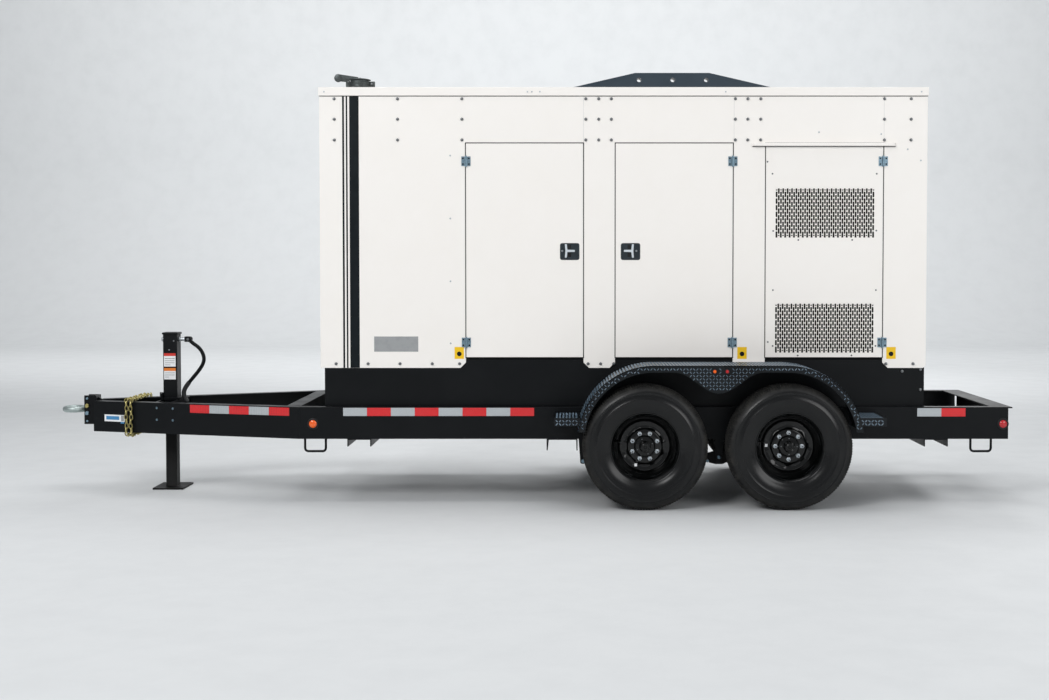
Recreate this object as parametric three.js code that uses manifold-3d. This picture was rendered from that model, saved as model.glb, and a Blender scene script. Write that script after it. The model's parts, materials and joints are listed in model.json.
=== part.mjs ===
// Towable diesel generator: a sound-proof canopy on a tandem-axle trailer.
// Millimetres. +Z is up, the tongue points along -X, and the trailer's left side is -Y.
import * as THREE from 'three';
import { mergeVertices } from 'three/addons/utils/BufferGeometryUtils.js';
import Module from 'manifold-3d';

const wasm = await Module();
wasm.setup();

// ---------- driving dimensions ----------
const GAP = 0.3; // air between pieces that touch
const SIDES = { left: -1, right: 1 };

const RAIL = { front: -1403, rear: 3097, half: 610, bottom: 403, top: 606, flange: 66, web: 7, thick: 9 };
const REAR_LIP = 3123; // rear end of the whole trailer
const HEAD = { x: -2883, half: 100 }; // where the two tongue rails come together
const TONGUE_DROOP = 0.0081; // fall of the tongue for each mm forward of the frame
const EYE = { x: -3043.5, z: 532, ring: 59, bar: 20.5 }; // the towing eye
const MOUNT = { front: -2964, half: 50, bottom: 433, top: 627, wall: 8 };
const JACK = { x: -2382, tubeX: 47, tubeY: 46, bottom: 392, top: 1040, leg: 37, legTop: 620, shaftZ: 1005 };

const WHEEL = { z: 387, y: 822.5, tyre: 390.3, xs: { front: 778, rear: 1667 } };
const SPRING = { y: 577, half: 22, eyeZ: 262, reach: 378, seat: 234, camber: 33, leaf: 13 };
const EQUALIZER = { x: 1262, z: 288 };
const AXLE = { z: 285, r: 38, spindle: 30 };

const FENDER = { front: 830, rear: 1643, z: 424, r: 469, band: 42, end: 485, out: 950, sheet: 5, dip: 722 };
const STEP = { length: 160, out: 930, top: 571, bottom: 520, sheet: 4 };

const TANK = { front: -1250, rear: 2577, half: 544.7, top: 905, wall: 5 };
const CANOPY = { front: -1276, rear: 2586, half: 550, wall: 5, skirt: 850, top: 2579, chamfer: 35 };
const ROOF = { over: 5, top: 2633, rim: 12, sheet: 5 };
const DOOR = { width: 744, bottom: 919, top: 2278, depth: 30, skin: 4, rim: 20, gap: 3 };
const DOORS = {
  front: { x: -345, hinge: 'front' },
  middle: { x: 606, hinge: 'rear' },
  rear: { x: 1561, hinge: 'rear' },
};
const HINGE = { out: 7.5, r: 7, length: 70, zs: [978, 2130] };
const LATCH = { z: 1596, fromEdge: 52, stem: 54, bar: 88, thick: 10, proud: 3 };
const REAR_DOOR = { half: 440, bottom: 1215, top: 2510 };

const STACK = { x: -1100, r: 62, band: 67.5, top: 2746, silencerR: 150, silencerZ: 2230 };
const CAP_PIVOT = { x: -1176, z: 2746 };
const CRANKSHAFT_Z = 1330;
const FAN = { x: -385, z: 1430, r: 370 };
const PANEL = { rear: 2500, half: 260, bottom: 1350, top: 2050 };
const STOP = { y: -180, z: 1900 };

// ---------- finishes ----------
const paint = (color, roughness = 0.45) => new THREE.MeshStandardMaterial({ color, roughness, metalness: 0.1 });
const metal = (color, roughness = 0.4) => new THREE.MeshStandardMaterial({ color, roughness, metalness: 0.9 });
const plain = (color, roughness = 0.7) => new THREE.MeshStandardMaterial({ color, roughness, metalness: 0 });
const FINISH = {
  frameBlack: paint('#15181c'),
  canopyWhite: paint('#efeeec', 0.35),
  wheelBlack: paint('#0c0d0f', 0.25),
  roofSlate: paint('#2b3a45'),
  zinc: metal('#b9c0c4'),
  goldZinc: metal('#b9a04c'),
  exhaust: metal('#5a5d5c', 0.6),
  rubber: plain('#26282a', 0.85),
  tread: paint('#10161b', 0.3),
  engine: paint('#c9ccca', 0.5),
  alternator: paint('#2f4a63', 0.5),
  core: metal('#33373a', 0.7),
  plastic: plain('#1a1b1d'),
  panelGrey: paint('#8d9293'),
  red: plain('#c01818', 0.4),
};

// ---------- shape tools ----------
const group = new THREE.Group();

function add(name, geometry, material) {
  const mesh = new THREE.Mesh(geometry, material);
  mesh.name = name;
  group.add(mesh);
}

function signedVolume(geometry) {
  const g = geometry.index ? geometry.toNonIndexed() : geometry;
  const p = g.getAttribute('position');
  const [a, b, c] = [new THREE.Vector3(), new THREE.Vector3(), new THREE.Vector3()];
  let volume = 0;
  for (let i = 0; i < p.count; i += 3) {
    a.fromBufferAttribute(p, i);
    b.fromBufferAttribute(p, i + 1);
    c.fromBufferAttribute(p, i + 2);
    volume += a.dot(b.cross(c)) / 6;
  }
  return volume;
}

// Position-only triangles that face outwards, whichever way the source wound them.
function outward(source) {
  const bare = new THREE.BufferGeometry();
  bare.setAttribute('position', source.getAttribute('position').clone());
  if (source.index) bare.setIndex(source.index.clone());
  const g = mergeVertices(bare, 1e-3);
  if (signedVolume(g) < 0) {
    const index = g.index.array;
    for (let i = 0; i < index.length; i += 3) [index[i], index[i + 1]] = [index[i + 1], index[i]];
  }
  return g;
}

function toManifold(geometry) {
  const g = outward(geometry);
  const vertProperties = new Float32Array(g.getAttribute('position').array);
  return new wasm.Manifold(new wasm.Mesh({ numProp: 3, vertProperties, triVerts: new Uint32Array(g.index.array) }));
}

function fromManifold(manifold) {
  const { vertProperties, triVerts } = manifold.getMesh();
  const g = new THREE.BufferGeometry();
  g.setAttribute('position', new THREE.BufferAttribute(vertProperties, 3));
  g.setIndex(new THREE.BufferAttribute(triVerts, 1));
  g.computeVertexNormals();
  return g;
}

const join = (first, ...rest) => fromManifold(rest.reduce((m, g) => m.add(toManifold(g)), toManifold(first)));
const cut = (first, ...rest) => fromManifold(rest.reduce((m, g) => m.subtract(toManifold(g)), toManifold(first)));
const keepInside = (first, limit) => fromManifold(toManifold(first).intersect(toManifold(limit)));
const mirrored = (geometry) => outward(geometry.clone().scale(1, -1, 1));
const onSide = (geometry, side) => (side === 'left' ? geometry : mirrored(geometry));

function box([x0, x1], [y0, y1], [z0, z1]) {
  const g = new THREE.BoxGeometry(x1 - x0, y1 - y0, z1 - z0);
  return g.translate((x0 + x1) / 2, (y0 + y1) / 2, (z0 + z1) / 2);
}

const outline = (points) => new THREE.Shape(points.map(([u, v]) => new THREE.Vector2(u, v)));

function prism(points, depth) {
  return new THREE.ExtrudeGeometry(outline(points), { depth, bevelEnabled: false });
}

// An outline in (x, z), from y0 to y1.
const prismY = (points, y0, y1) => outward(prism(points, y1 - y0).rotateX(Math.PI / 2).translate(0, y1, 0));

// An outline in (y, z), from x0 to x1.
function prismX(points, x0, x1) {
  const turn = new THREE.Matrix4().makeBasis(
    new THREE.Vector3(0, 1, 0), new THREE.Vector3(0, 0, 1), new THREE.Vector3(1, 0, 0));
  return outward(prism(points, x1 - x0).applyMatrix4(turn).translate(x0, 0, 0));
}

function rod(axis, r, from, to, [u, v], sides = 12) {
  const g = new THREE.CylinderGeometry(r, r, to - from, sides);
  const middle = (from + to) / 2;
  if (axis === 'x') return g.rotateZ(-Math.PI / 2).translate(middle, u, v);
  if (axis === 'y') return g.translate(u, middle, v);
  return g.rotateX(Math.PI / 2).translate(u, v, middle);
}

// A bar of round section along a path of points joined by straight runs with rounded corners.
function bentBar(points, r, bend, sides = 8, cuts = 3) {
  const at = points.map((p) => new THREE.Vector3(...p));
  const path = [at[0]];
  for (let i = 1; i < at.length - 1; i++) {
    const before = at[i].clone().sub(at[i].clone().sub(at[i - 1]).setLength(bend));
    const after = at[i].clone().add(at[i + 1].clone().sub(at[i]).setLength(bend));
    const corner = new THREE.QuadraticBezierCurve3(before, at[i], after);
    path.push(...corner.getPoints(cuts));
  }
  path.push(at[at.length - 1]);
  const curve = new THREE.CurvePath();
  for (let i = 1; i < path.length; i++) curve.add(new THREE.LineCurve3(path[i - 1], path[i]));
  curve.getPointAt = (t) => pointOn(path, t);
  curve.getTangentAt = (t) => tangentOn(path, t);
  const ring = new THREE.Shape(new THREE.EllipseCurve(0, 0, r, r, 0, 2 * Math.PI).getPoints(sides).slice(0, sides));
  return outward(new THREE.ExtrudeGeometry(ring, { steps: path.length - 1, extrudePath: curve, bevelEnabled: false }));
}

// The bar's rings stand on the path's own points, and each one is square to the mean direction there.
const pointOn = (path, t) => path[Math.round(t * (path.length - 1))].clone();
function tangentOn(path, t) {
  const i = Math.round(t * (path.length - 1));
  const before = path[Math.max(i - 1, 0)];
  const after = path[Math.min(i + 1, path.length - 1)];
  return after.clone().sub(before).normalize();
}

function arc(cx, cz, r, fromDeg, toDeg, count) {
  return Array.from({ length: count + 1 }, (_, i) => {
    const a = THREE.MathUtils.degToRad(fromDeg + ((toDeg - fromDeg) * i) / count);
    return [cx + r * Math.cos(a), cz + r * Math.sin(a)];
  });
}

// ---------- frame ----------
function channelSection({ half, bottom, top, flange, web, thick }) {
  const [outer, inner, tip] = [-half, -half + web, -half + flange];
  return [[outer, bottom], [tip, bottom], [tip, bottom + thick], [inner, bottom + thick],
    [inner, top - thick], [tip, top - thick], [tip, top], [outer, top]];
}

function tieDownLoop(x0, x1) {
  const [y, r, drop] = [-590, 7.5, 88];
  const [high, low] = [RAIL.bottom + 3, RAIL.bottom - drop + r];
  return bentBar([[x0 + r, y, high], [x0 + r, y, low], [x1 - r, y, low], [x1 - r, y, high]], r, 22, 6, 2);
}

function springHanger(x) {
  const [half, inner, outer, low] = [22, 24, 32, 245];
  const plate = (from, to) => box([x - half, x + half], [from, to], [low, RAIL.bottom + 1]);
  return [plate(-SPRING.y - outer, -SPRING.y - inner), plate(-SPRING.y + inner, -SPRING.y + outer)];
}

const HANGER_XS = [WHEEL.xs.front - SPRING.reach, EQUALIZER.x, WHEEL.xs.rear + SPRING.reach];

function rail() {
  const channel = prismX(channelSection(RAIL), RAIL.front, RAIL.rear);
  return join(channel, ...HANGER_XS.flatMap(springHanger), tieDownLoop(-1377, -1230), tieDownLoop(2856, 3001));
}

function underChannel(x, width, leg) {
  const [half, wall] = [600, 7];
  const [top, low] = [RAIL.bottom - GAP, RAIL.bottom - leg];
  const section = [[x, low], [x + wall, low], [x + wall, top - wall], [x + width - wall, top - wall],
    [x + width - wall, low], [x + width, low], [x + width, top], [x, top]];
  return prismY(section, -half, half);
}

function rearCrossmember() {
  const inner = RAIL.half - RAIL.flange - GAP;
  const flush = [RAIL.top - 8, RAIL.top];
  return join(
    box([RAIL.rear + GAP, REAR_LIP], [-RAIL.half, RAIL.half], flush),
    box([2996, RAIL.rear + GAP + 1], [-inner, inner], flush),
    box([3091, RAIL.rear + GAP], [-inner, inner], [RAIL.bottom, RAIL.top]),
    box([3030, RAIL.rear], [-inner, inner], [RAIL.bottom, RAIL.bottom + 8]));
}

function droop(geometry) {
  const p = geometry.getAttribute('position');
  for (let i = 0; i < p.count; i++) p.setZ(i, p.getZ(i) + TONGUE_DROOP * (p.getX(i) - RAIL.front));
  return geometry;
}

function tongue() {
  const start = RAIL.front - GAP;
  const run = new THREE.Vector2(HEAD.x - start, RAIL.half - HEAD.half);
  const section = channelSection({ ...RAIL, half: 0 }).map(([y, z]) => [-y, z]);
  const side = prismX(section, -80, run.length() + 80).rotateZ(run.angle()).translate(start, -RAIL.half, 0);
  const between = (x0, x1, half, z0, z1) => box([x0, x1], [-half, half], [z0, z1]);
  const frame = join(side, mirrored(side),
    between(HEAD.x, HEAD.x + 12, HEAD.half, RAIL.bottom, RAIL.top),
    between(start - 8, start, 540, RAIL.bottom, RAIL.top),
    between(-1500, start, 520, RAIL.top - 9, RAIL.top),
    between(-1460, start, 520, RAIL.bottom, RAIL.bottom + 9),
    between(JACK.x - JACK.tubeX - 12, JACK.x - JACK.tubeX - GAP, 245, RAIL.bottom, RAIL.top),
    between(JACK.x + JACK.tubeX + GAP, JACK.x + JACK.tubeX + 12, 245, RAIL.bottom, RAIL.top),
    between(JACK.x - JACK.tubeX - 12, JACK.x - JACK.tubeX - GAP, 70, RAIL.top - 5, RAIL.top + 45));
  return droop(keepInside(frame, box([HEAD.x, start], [-700, 700], [0, 1000])));
}

function couplerMount() {
  const { front, half, bottom, top, wall } = MOUNT;
  const back = HEAD.x - GAP;
  const cheek = (s) => box([front, back], s < 0 ? [-half, -half + wall] : [half - wall, half], [bottom, top]);
  const overHead = RAIL.top - 11;
  const gusset = prismY([[front + 16, 590], [back, 590], [back, overHead], [-2852, overHead], [-2908, top + 2],
    [front + 16, top + 2]], -6, 6);
  return join(cheek(-1), cheek(1), box([back - wall, back], [-half, half], [bottom, top]), gusset);
}

function towingEye() {
  const { x, z, ring, bar } = EYE;
  const back = HEAD.x - 2 * GAP - MOUNT.wall;
  const width = MOUNT.half - MOUNT.wall - GAP;
  const loop = new THREE.TorusGeometry(ring, bar, 8, 20).translate(x, 0, z);
  return join(loop, rod('x', 19, x + ring, back - 20, [0, z], 8), box([-2956, back], [-width, width], [485, 580]));
}

for (const side in SIDES) add(`frame_rail_${side}`, onSide(rail(), side), FINISH.frameBlack);
add('crossmember_front', underChannel(-1100, 152, 50), FINISH.frameBlack);
add('crossmember_middle', underChannel(167, 197, 75), FINISH.frameBlack);
add('crossmember_rear', underChannel(2566, 152, 50), FINISH.frameBlack);
add('rear_end_plate', rearCrossmember(), FINISH.frameBlack);
add('tongue', tongue(), FINISH.frameBlack);
add('coupler_mount', couplerMount(), FINISH.frameBlack);
add('towing_eye', towingEye(), FINISH.zinc);

// ---------- jack and safety chains ----------
function jackTube() {
  const { x, tubeX, tubeY, bottom, top, leg, shaftZ } = JACK;
  const tube = join(
    box([x - tubeX, x + tubeX], [-tubeY, tubeY], [bottom, top]),
    box([x - tubeX - 5, x + tubeX + 5], [-tubeY - 5, tubeY + 5], [top - 1, top + 8]));
  const bore = leg + 3;
  return cut(tube, box([x - bore, x + bore], [-bore, bore], [bottom - 1, top - 8]),
    rod('x', 14, x - 80, x + 80, [0, shaftZ]));
}

function jackLeg() {
  const { x, leg, legTop } = JACK;
  return join(box([x - leg, x + leg], [-leg, leg], [5, legTop]), box([x - 103, x + 103], [-127, 127], [0, 12]));
}

const CRANK_PIN = { x: -2268, z: JACK.shaftZ };

function crankShaft() {
  const { x, tubeX, shaftZ } = JACK;
  const [left, right] = [x - tubeX, x + tubeX];
  const ear = (y0, y1) => box([CRANK_PIN.x - 18, CRANK_PIN.x + 14], [y0, y1], [shaftZ - 14, shaftZ + 14]);
  return join(rod('x', 12, left - 4, CRANK_PIN.x - 17, [0, shaftZ]), rod('x', 16, left - 18, left - 3, [0, shaftZ]),
    rod('x', 15, right + 3, right + 9, [0, shaftZ]), ear(-16, -9), ear(9, 16),
    box([CRANK_PIN.x - 24, CRANK_PIN.x - 17], [-16, 16], [shaftZ - 14, shaftZ + 14]));
}

function crankHandle() {
  const route = [[-2266, 1003], [-2196, 940], [-2160, 880], [-2196, 800], [-2300, 672], [-2301, 628], [-2276, 570]];
  const bar = bentBar(route.map(([x, z]) => [x, 0, z]), 13, 26, 8, 2);
  const eye = rod('y', 15, -8.5, 8.5, [CRANK_PIN.x, CRANK_PIN.z], 10);
  const ears = rod('y', 23, -40, 40, [CRANK_PIN.x, CRANK_PIN.z], 24);
  const behind = box([CRANK_PIN.x - 30, CRANK_PIN.x], [-40, 40], [CRANK_PIN.z - 14, CRANK_PIN.z + 22]);
  const neck = prismY([[-2275, 1000], [-2262, 1012], [-2236, 985], [-2249, 971]], -8.5, 8.5);
  return join(cut(bar, ears, behind), eye, neck);
}

// Each chain is wound once round the tongue, as it is stowed.
function chainWrap(x) {
  const taper = (RAIL.half - HEAD.half) / (RAIL.front - HEAD.x);
  const wide = RAIL.half + taper * (x + 22 - RAIL.front) + 3;
  const [low, high, link] = [388, 601, 20];
  const block = box([x, x + 22], [-wide - link, wide + link], [low - link, high + link]);
  return cut(block, box([x - 1, x + 23], [-wide, wide], [low, high]));
}

add('jack_tube', jackTube(), FINISH.frameBlack);
add('jack_leg', jackLeg(), FINISH.frameBlack);
add('crank_shaft', crankShaft(), FINISH.zinc);
add('crank_handle', crankHandle(), FINISH.frameBlack);
add('safety_chain_left', chainWrap(-2640), FINISH.goldZinc);
add('safety_chain_right', chainWrap(-2606), FINISH.goldZinc);

// ---------- running gear ----------
function lathedWheel(profile, sides, x, side) {
  const points = profile.map(([r, a]) => new THREE.Vector2(r, a));
  const g = outward(new THREE.LatheGeometry(points, sides));
  g.rotateY(Math.PI / sides);
  if (side === 'left') g.rotateZ(Math.PI);
  return g.translate(x, SIDES[side] * WHEEL.y, WHEEL.z);
}

// (radius, distance outwards from the wheel's middle plane)
const WHEEL_PROFILE = [[0, 70], [30, 70], [34, 36], [62, 34], [62, 12], [150, 8], [172, -8], [196, -8], [196, 84],
  [216, 88], [203, 81.5], [203, -81.5], [216, -88], [196, -84], [196, -18], [165, -20], [165, -150], [150, -150],
  [150, -12], [52, -12], [52, -60], [33, -60], [33, 20], [0, 20]];
const TYRE_PROFILE = [[206.3, 80.5], [218, 80.5], [290, 117.5], [366, 106], [WHEEL.tyre, 84], [WHEEL.tyre, -84],
  [366, -106], [290, -117.5], [218, -80.5], [206.3, -80.5], [206.3, -64], [290, -102], [374, -76], [374, 76],
  [290, 102], [206.3, 64], [206.3, 80.5]];
const WHEEL_SIDES = 14;
const TYRE_SIDES = 24;

function axle(x) {
  const { z, r, spindle } = AXLE;
  const half = (s) => [
    box([x - 45, x + 45], s < 0 ? [-640, -612] : [612, 640], [247, 425]),
    rod('y', spindle, s < 0 ? -836 : 620, s < 0 ? -620 : 836, [x, WHEEL.z], 8),
    rod('y', 148, s < 0 ? -663 : 655, s < 0 ? -655 : 663, [x, WHEEL.z], 12),
    box([x - 40, x + 40], [s * SPRING.y - SPRING.half, s * SPRING.y + SPRING.half], [SPRING.seat + 1, z])];
  return join(rod('y', r, -625, 625, [x, z], 10), ...half(-1), ...half(1));
}

// A pack of four leaves, longest on top, with a rolled eye at the end that hangs on the frame.
function leafSpring(x, eyeward) {
  const { half, eyeZ, reach, seat, camber, leaf } = SPRING;
  const inward = eyeward < 0 ? 397 : 342;
  const topAt = (d) => seat + camber * (d / reach) ** 2;
  const spans = [[-inward, reach], [-220, 220], [-150, 150], [-90, 90]];
  const leaves = spans.map(([d0, d1], n) => {
    const count = n ? 4 : 8;
    const ds = Array.from({ length: count + 1 }, (_, i) => d0 + ((d1 - d0) * i) / count);
    const under = n * leaf;
    const upper = ds.map((d) => [x + eyeward * d, topAt(d) - under + (n ? 0.5 : 0)]);
    const lower = ds.map((d) => [x + eyeward * d, topAt(d) - under - leaf]).reverse();
    return prismY([...upper, ...lower], -SPRING.y - half, -SPRING.y + half);
  });
  return join(...leaves, rod('y', 20, -SPRING.y - half, -SPRING.y + half, [x + eyeward * reach, eyeZ], 12));
}

function equalizer() {
  const { x, z } = EQUALIZER;
  const shape = [[1158, 300], [1158, 277], [1186, 277], [1200, 250], [x - 20, 240], [x + 26, 240], [1308, 250],
    [1318, 268], [1362, 268], [1362, 294], [x + 30, z + 32], [x - 30, z + 32]];
  return prismY(shape, -SPRING.y - 20, -SPRING.y + 20);
}

for (const [place, x] of Object.entries(WHEEL.xs)) {
  add(`axle_${place}`, axle(x), FINISH.frameBlack);
  for (const side in SIDES) {
    const spring = leafSpring(x, place === 'front' ? -1 : 1);
    add(`leaf_spring_${place}_${side}`, onSide(spring, side), FINISH.frameBlack);
    add(`wheel_${place}_${side}`, lathedWheel(WHEEL_PROFILE, WHEEL_SIDES, x, side), FINISH.wheelBlack);
    add(`tyre_${place}_${side}`, lathedWheel(TYRE_PROFILE, TYRE_SIDES, x, side), FINISH.rubber);
  }
}
for (const side in SIDES) add(`equalizer_${side}`, onSide(equalizer(), side), FINISH.frameBlack);

// ---------- fenders ----------
function fender() {
  const { front, rear, z, r, band, end, out, sheet, dip } = FENDER;
  const lowest = (radius) => THREE.MathUtils.radToDeg(Math.asin((end - z) / radius));
  const over = (radius) => [
    ...arc(rear, z, radius, lowest(radius), 90, 7), ...arc(front, z, radius, 90, 180 - lowest(radius), 7)];
  const inner = r - sheet;
  const cover = prismY([...over(r), ...over(inner).reverse()], -out, -RAIL.half - GAP);
  const middle = (front + rear) / 2 - 11;
  const arch = z + r - band;
  const drop = Array.from({ length: 9 }, (_, i) => {
    const d = -248 + 62 * i;
    return [middle + d, arch - (arch - dip) * Math.cos((Math.PI * d) / 540) ** 2];
  });
  const low = r - band;
  const edge = [...arc(front, z, low, 180 - lowest(low), 90, 7), ...drop, ...arc(rear, z, low, 90, lowest(low), 7)];
  return join(cover, prismY([...over(r), ...edge], -out, -out + 4), ...step(-1), ...step(1));
}

function step(toRear) {
  const { length, out, top, bottom, sheet } = STEP;
  const root = toRear > 0 ? FENDER.rear + FENDER.r - 26 : FENDER.front - FENDER.r + 26;
  const tip = root + toRear * (length + 26);
  const [x0, x1] = [Math.min(root, tip), Math.max(root, tip)];
  const end = toRear > 0 ? [x1 - sheet, x1] : [x0, x0 + sheet];
  const depth = [-out, -RAIL.half - GAP];
  return [box([x0, x1], depth, [top - sheet, top]), box([x0, x1], [-out, -out + sheet], [bottom, top]),
    box(end, depth, [bottom, top])];
}

for (const side in SIDES) add(`fender_${side}`, onSide(fender(), side), FINISH.tread);

// ---------- canopy ----------
function fuelTank() {
  const { front, rear, half, top, wall } = TANK;
  const base = RAIL.top + GAP;
  return cut(box([front, rear], [-half, half], [base, top]),
    box([front + wall, rear - wall], [-half + wall, half - wall], [base + wall, top - wall]),
    rod('z', 40, top - 20, top + 20, [2230, 380], 12));
}

function sidePanel() {
  const { front, rear, half, wall, skirt, top, chamfer } = CANOPY;
  const head = DOOR.top + DOOR.gap;
  const openings = Object.values(DOORS).map(({ x }) => [x - DOOR.gap, x + DOOR.width + DOOR.gap]);
  const edges = [front, ...openings.flat(), rear];
  const points = [];
  for (let i = 0; i < edges.length; i += 2) {
    const [x0, x1] = [edges[i], edges[i + 1]];
    if (i > 0) points.push([x0, head], [x0, skirt + chamfer], [x0 + chamfer, skirt]);
    else points.push([x0, skirt]); // the front corner is square
    const bevel = i + 2 < edges.length ? chamfer : chamfer / 2;
    points.push([x1 - bevel, skirt], [x1, skirt + bevel]);
    if (i + 2 < edges.length) points.push([x1, head]);
  }
  return prismY([...points, [rear, top], [front, top]], -half, -half + wall);
}

const innerHalf = CANOPY.half - CANOPY.wall - GAP;

function rearWall() {
  const { rear, wall, top } = CANOPY;
  const sheet = box([rear - wall, rear], [-innerHalf, innerHalf], [TANK.top + GAP, top]);
  const { half, bottom, top: high } = REAR_DOOR;
  const g = DOOR.gap;
  return cut(sheet, box([rear - 50, rear + 50], [-half - g, half + g], [bottom - g, high + g]));
}

function roof() {
  const { over, top, rim, sheet } = ROOF;
  const [front, rear, half, base] = [CANOPY.front - over, CANOPY.rear + over, CANOPY.half + over, CANOPY.top + GAP];
  return cut(box([front, rear], [-half, half], [base, top]),
    box([front + rim, rear - rim], [-half + rim, half - rim], [base - 1, top - sheet]),
    rod('z', 72, base - 50, top + 50, [STACK.x, 0], 16));
}

function liftingBeam() {
  const [half, wall, base, top] = [45, 8, ROOF.top + GAP, 2794];
  const outer = prismY([[52, base], [1948, base], [1250, top], [752, top]], -half, half);
  const inner = prismY([[140, base - 9], [1860, base - 9], [1246, top - wall], [756, top - wall]],
    -half + wall, half - wall);
  const holes = [779, 1004, 1229].map((x) => rod('y', 20, -60, 60, [x, 2747], 12));
  return cut(outer, inner, ...holes);
}

add('fuel_tank_base', fuelTank(), FINISH.frameBlack);
for (const side in SIDES) add(`side_panel_${side}`, onSide(sidePanel(), side), FINISH.canopyWhite);
add('front_panel', box([CANOPY.front, CANOPY.front + CANOPY.wall], [-innerHalf, innerHalf],
  [TANK.top + GAP, CANOPY.top]), FINISH.canopyWhite);
add('rear_panel', rearWall(), FINISH.canopyWhite);
add('roof', roof(), FINISH.canopyWhite);
add('lifting_beam', liftingBeam(), FINISH.roofSlate);

// ---------- doors and latches ----------
const knuckle = (x, y, z) => rod('z', HINGE.r, z, z + HINGE.length, [x, y], 8);

function sideDoor({ x, hinge }) {
  const { width, bottom, top, depth, skin, rim } = DOOR;
  const face = -CANOPY.half;
  const leaf = cut(box([x, x + width], [face, face + depth], [bottom, top]),
    box([x + rim, x + width - rim], [face + skin, face + depth + 1], [bottom + rim, top - rim]));
  const [edge, inward] = hinge === 'front' ? [x, 1] : [x + width, -1];
  const straps = HINGE.zs.map((z) => {
    const xs = [edge, edge + inward * 45].sort((a, b) => a - b);
    return box(xs, [face - 3, face + 1], [z, z + HINGE.length]);
  });
  return join(leaf, ...straps, ...HINGE.zs.map((z) => knuckle(edge, face - HINGE.out, z)));
}

// A T shaped pull: the stem's far end is its pivot, and the cross bar is what the hand takes.
function latchHandle({ x, hinge }) {
  const { z, fromEdge, stem, bar, thick, proud } = LATCH;
  const [pivot, inward] = hinge === 'front' ? [x + DOOR.width - fromEdge, -1] : [x + fromEdge, 1];
  const back = -CANOPY.half - proud;
  const stemXs = [pivot, pivot + inward * stem].sort((a, b) => a - b);
  const barXs = [pivot + inward * (stem - 4), pivot + inward * (stem + 10)].sort((a, b) => a - b);
  return join(box(stemXs, [back - thick, back], [z - 7, z + 7]),
    box(barXs, [back - thick, back], [z - bar / 2, z + bar / 2]));
}

function rearDoor() {
  const { half, bottom, top } = REAR_DOOR;
  const face = CANOPY.rear;
  const { depth, skin, rim } = DOOR;
  const leaf = cut(box([face - depth, face], [-half, half], [bottom, top]),
    box([face - depth - 1, face - skin], [-half + rim, half - rim], [bottom + rim, top - rim]));
  const hinges = [1280, 2382].flatMap((z) => [
    box([face - 1, face + 3], [-half, -half + 45], [z, z + HINGE.length]),
    knuckle(face + HINGE.out, -half, z)]);
  return join(leaf, ...hinges);
}

for (const side in SIDES) {
  for (const [place, door] of Object.entries(DOORS)) {
    add(`door_${place}_${side}`, onSide(sideDoor(door), side), FINISH.canopyWhite);
    if (place !== 'rear') add(`latch_${place}_${side}`, onSide(latchHandle(door), side), FINISH.zinc);
  }
}
add('control_door', rearDoor(), FINISH.canopyWhite);

// ---------- exhaust ----------
function exhaust() {
  const { x, r, band, top, silencerR, silencerZ } = STACK;
  const ear = (y0, y1) => box([x - 92, x - band - GAP], [y0, y1], [top - 46, top + 1]);
  const outlet = rod('z', r, silencerZ, top, [x, 0], 12);
  const clamp = rod('z', band, top - 50, top, [x, 0], 12);
  const lug = box([x + band - 6, x + band + 34], [-9, 9], [top - 40, top - 4]);
  const tie = box([x - 80, x - r], [-10, 10], [top - 46, top - 30]);
  const inlet = bentBar([[-600, 0, silencerZ], [60, 0, silencerZ], [60, 130, 1960], [60, 130, 1800]], 50, 90, 8, 2);
  const solid = join(rod('x', silencerR, x - 120, -560, [0, silencerZ], 12), outlet, clamp, lug, tie, inlet,
    ear(-14, -6), ear(6, 14));
  return cut(solid, rod('z', r - 7, silencerZ + 200, top + 5, [x, 0], 12));
}

function rainCap() {
  const r = 70.5;
  const base = STACK.top + 2.5;
  const lid = new THREE.LatheGeometry([[0, 0], [r, 0], [r, 4], [45, 11], [0, 15]].map(([u, v]) =>
    new THREE.Vector2(u, v)), 14).rotateX(Math.PI / 2).translate(STACK.x + 3, 0, base);
  const arm = prismY([[-1246, 2792], [-1262, 2788], [-1245, 2744], [CAP_PIVOT.x - 8, 2738], [CAP_PIVOT.x + 5, 2741],
    [CAP_PIVOT.x + 6, 2749], [-1150, 2752], [-1110, 2757], [-1110, 2771]], -4.5, 4.5);
  return join(lid, arm, rod('y', 27, -7, 7, [-1245, 2765], 14));
}

add('exhaust', exhaust(), FINISH.exhaust);
add('rain_cap', rainCap(), FINISH.exhaust);

// ---------- engine, alternator and controls ----------
const FLOOR = TANK.top + GAP;
const foot = (x, y, top) => box([x - 50, x + 50], [y - 40, y + 40], [FLOOR, top]);

function engine() {
  const feet = [-20, 780].flatMap((x) => [foot(x, -200, 1150), foot(x, 200, 1150)]);
  return join(box([-150, 940], [-230, 230], [1080, 1620]), box([-60, 720], [-150, 150], [960, 1090]),
    box([-110, 880], [-105, 105], [1610, 1740]), rod('x', 280, 930, 1009.7, [0, CRANKSHAFT_Z], 20),
    rod('z', 46, 1610, 1799, [60, 130], 12), rod('x', 85, 120, 330, [250, 1650], 12),
    rod('x', 105, 430, 820, [300, 1850], 14), box([560, 640], [200, 280], [1500, 1800]), ...feet);
}

function alternator() {
  const feet = [1120, 1620].flatMap((x) => [foot(x, -220, 1250), foot(x, 220, 1250)]);
  return join(rod('x', 290, 1010, 1740, [0, CRANKSHAFT_Z], 20), rod('x', 210, 1730, 1830, [0, CRANKSHAFT_Z], 16),
    box([1180, 1640], [-190, 190], [1560, 1780]), ...feet);
}

function radiator() {
  const core = box([-480, -410], [-460, 460], [FLOOR, 2060]);
  const shroud = cut(box([-412, -330], [-430, 430], [1000, 1860]), rod('x', FAN.r + 20, -409, -300, [0, FAN.z], 20));
  return join(core, shroud);
}

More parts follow.
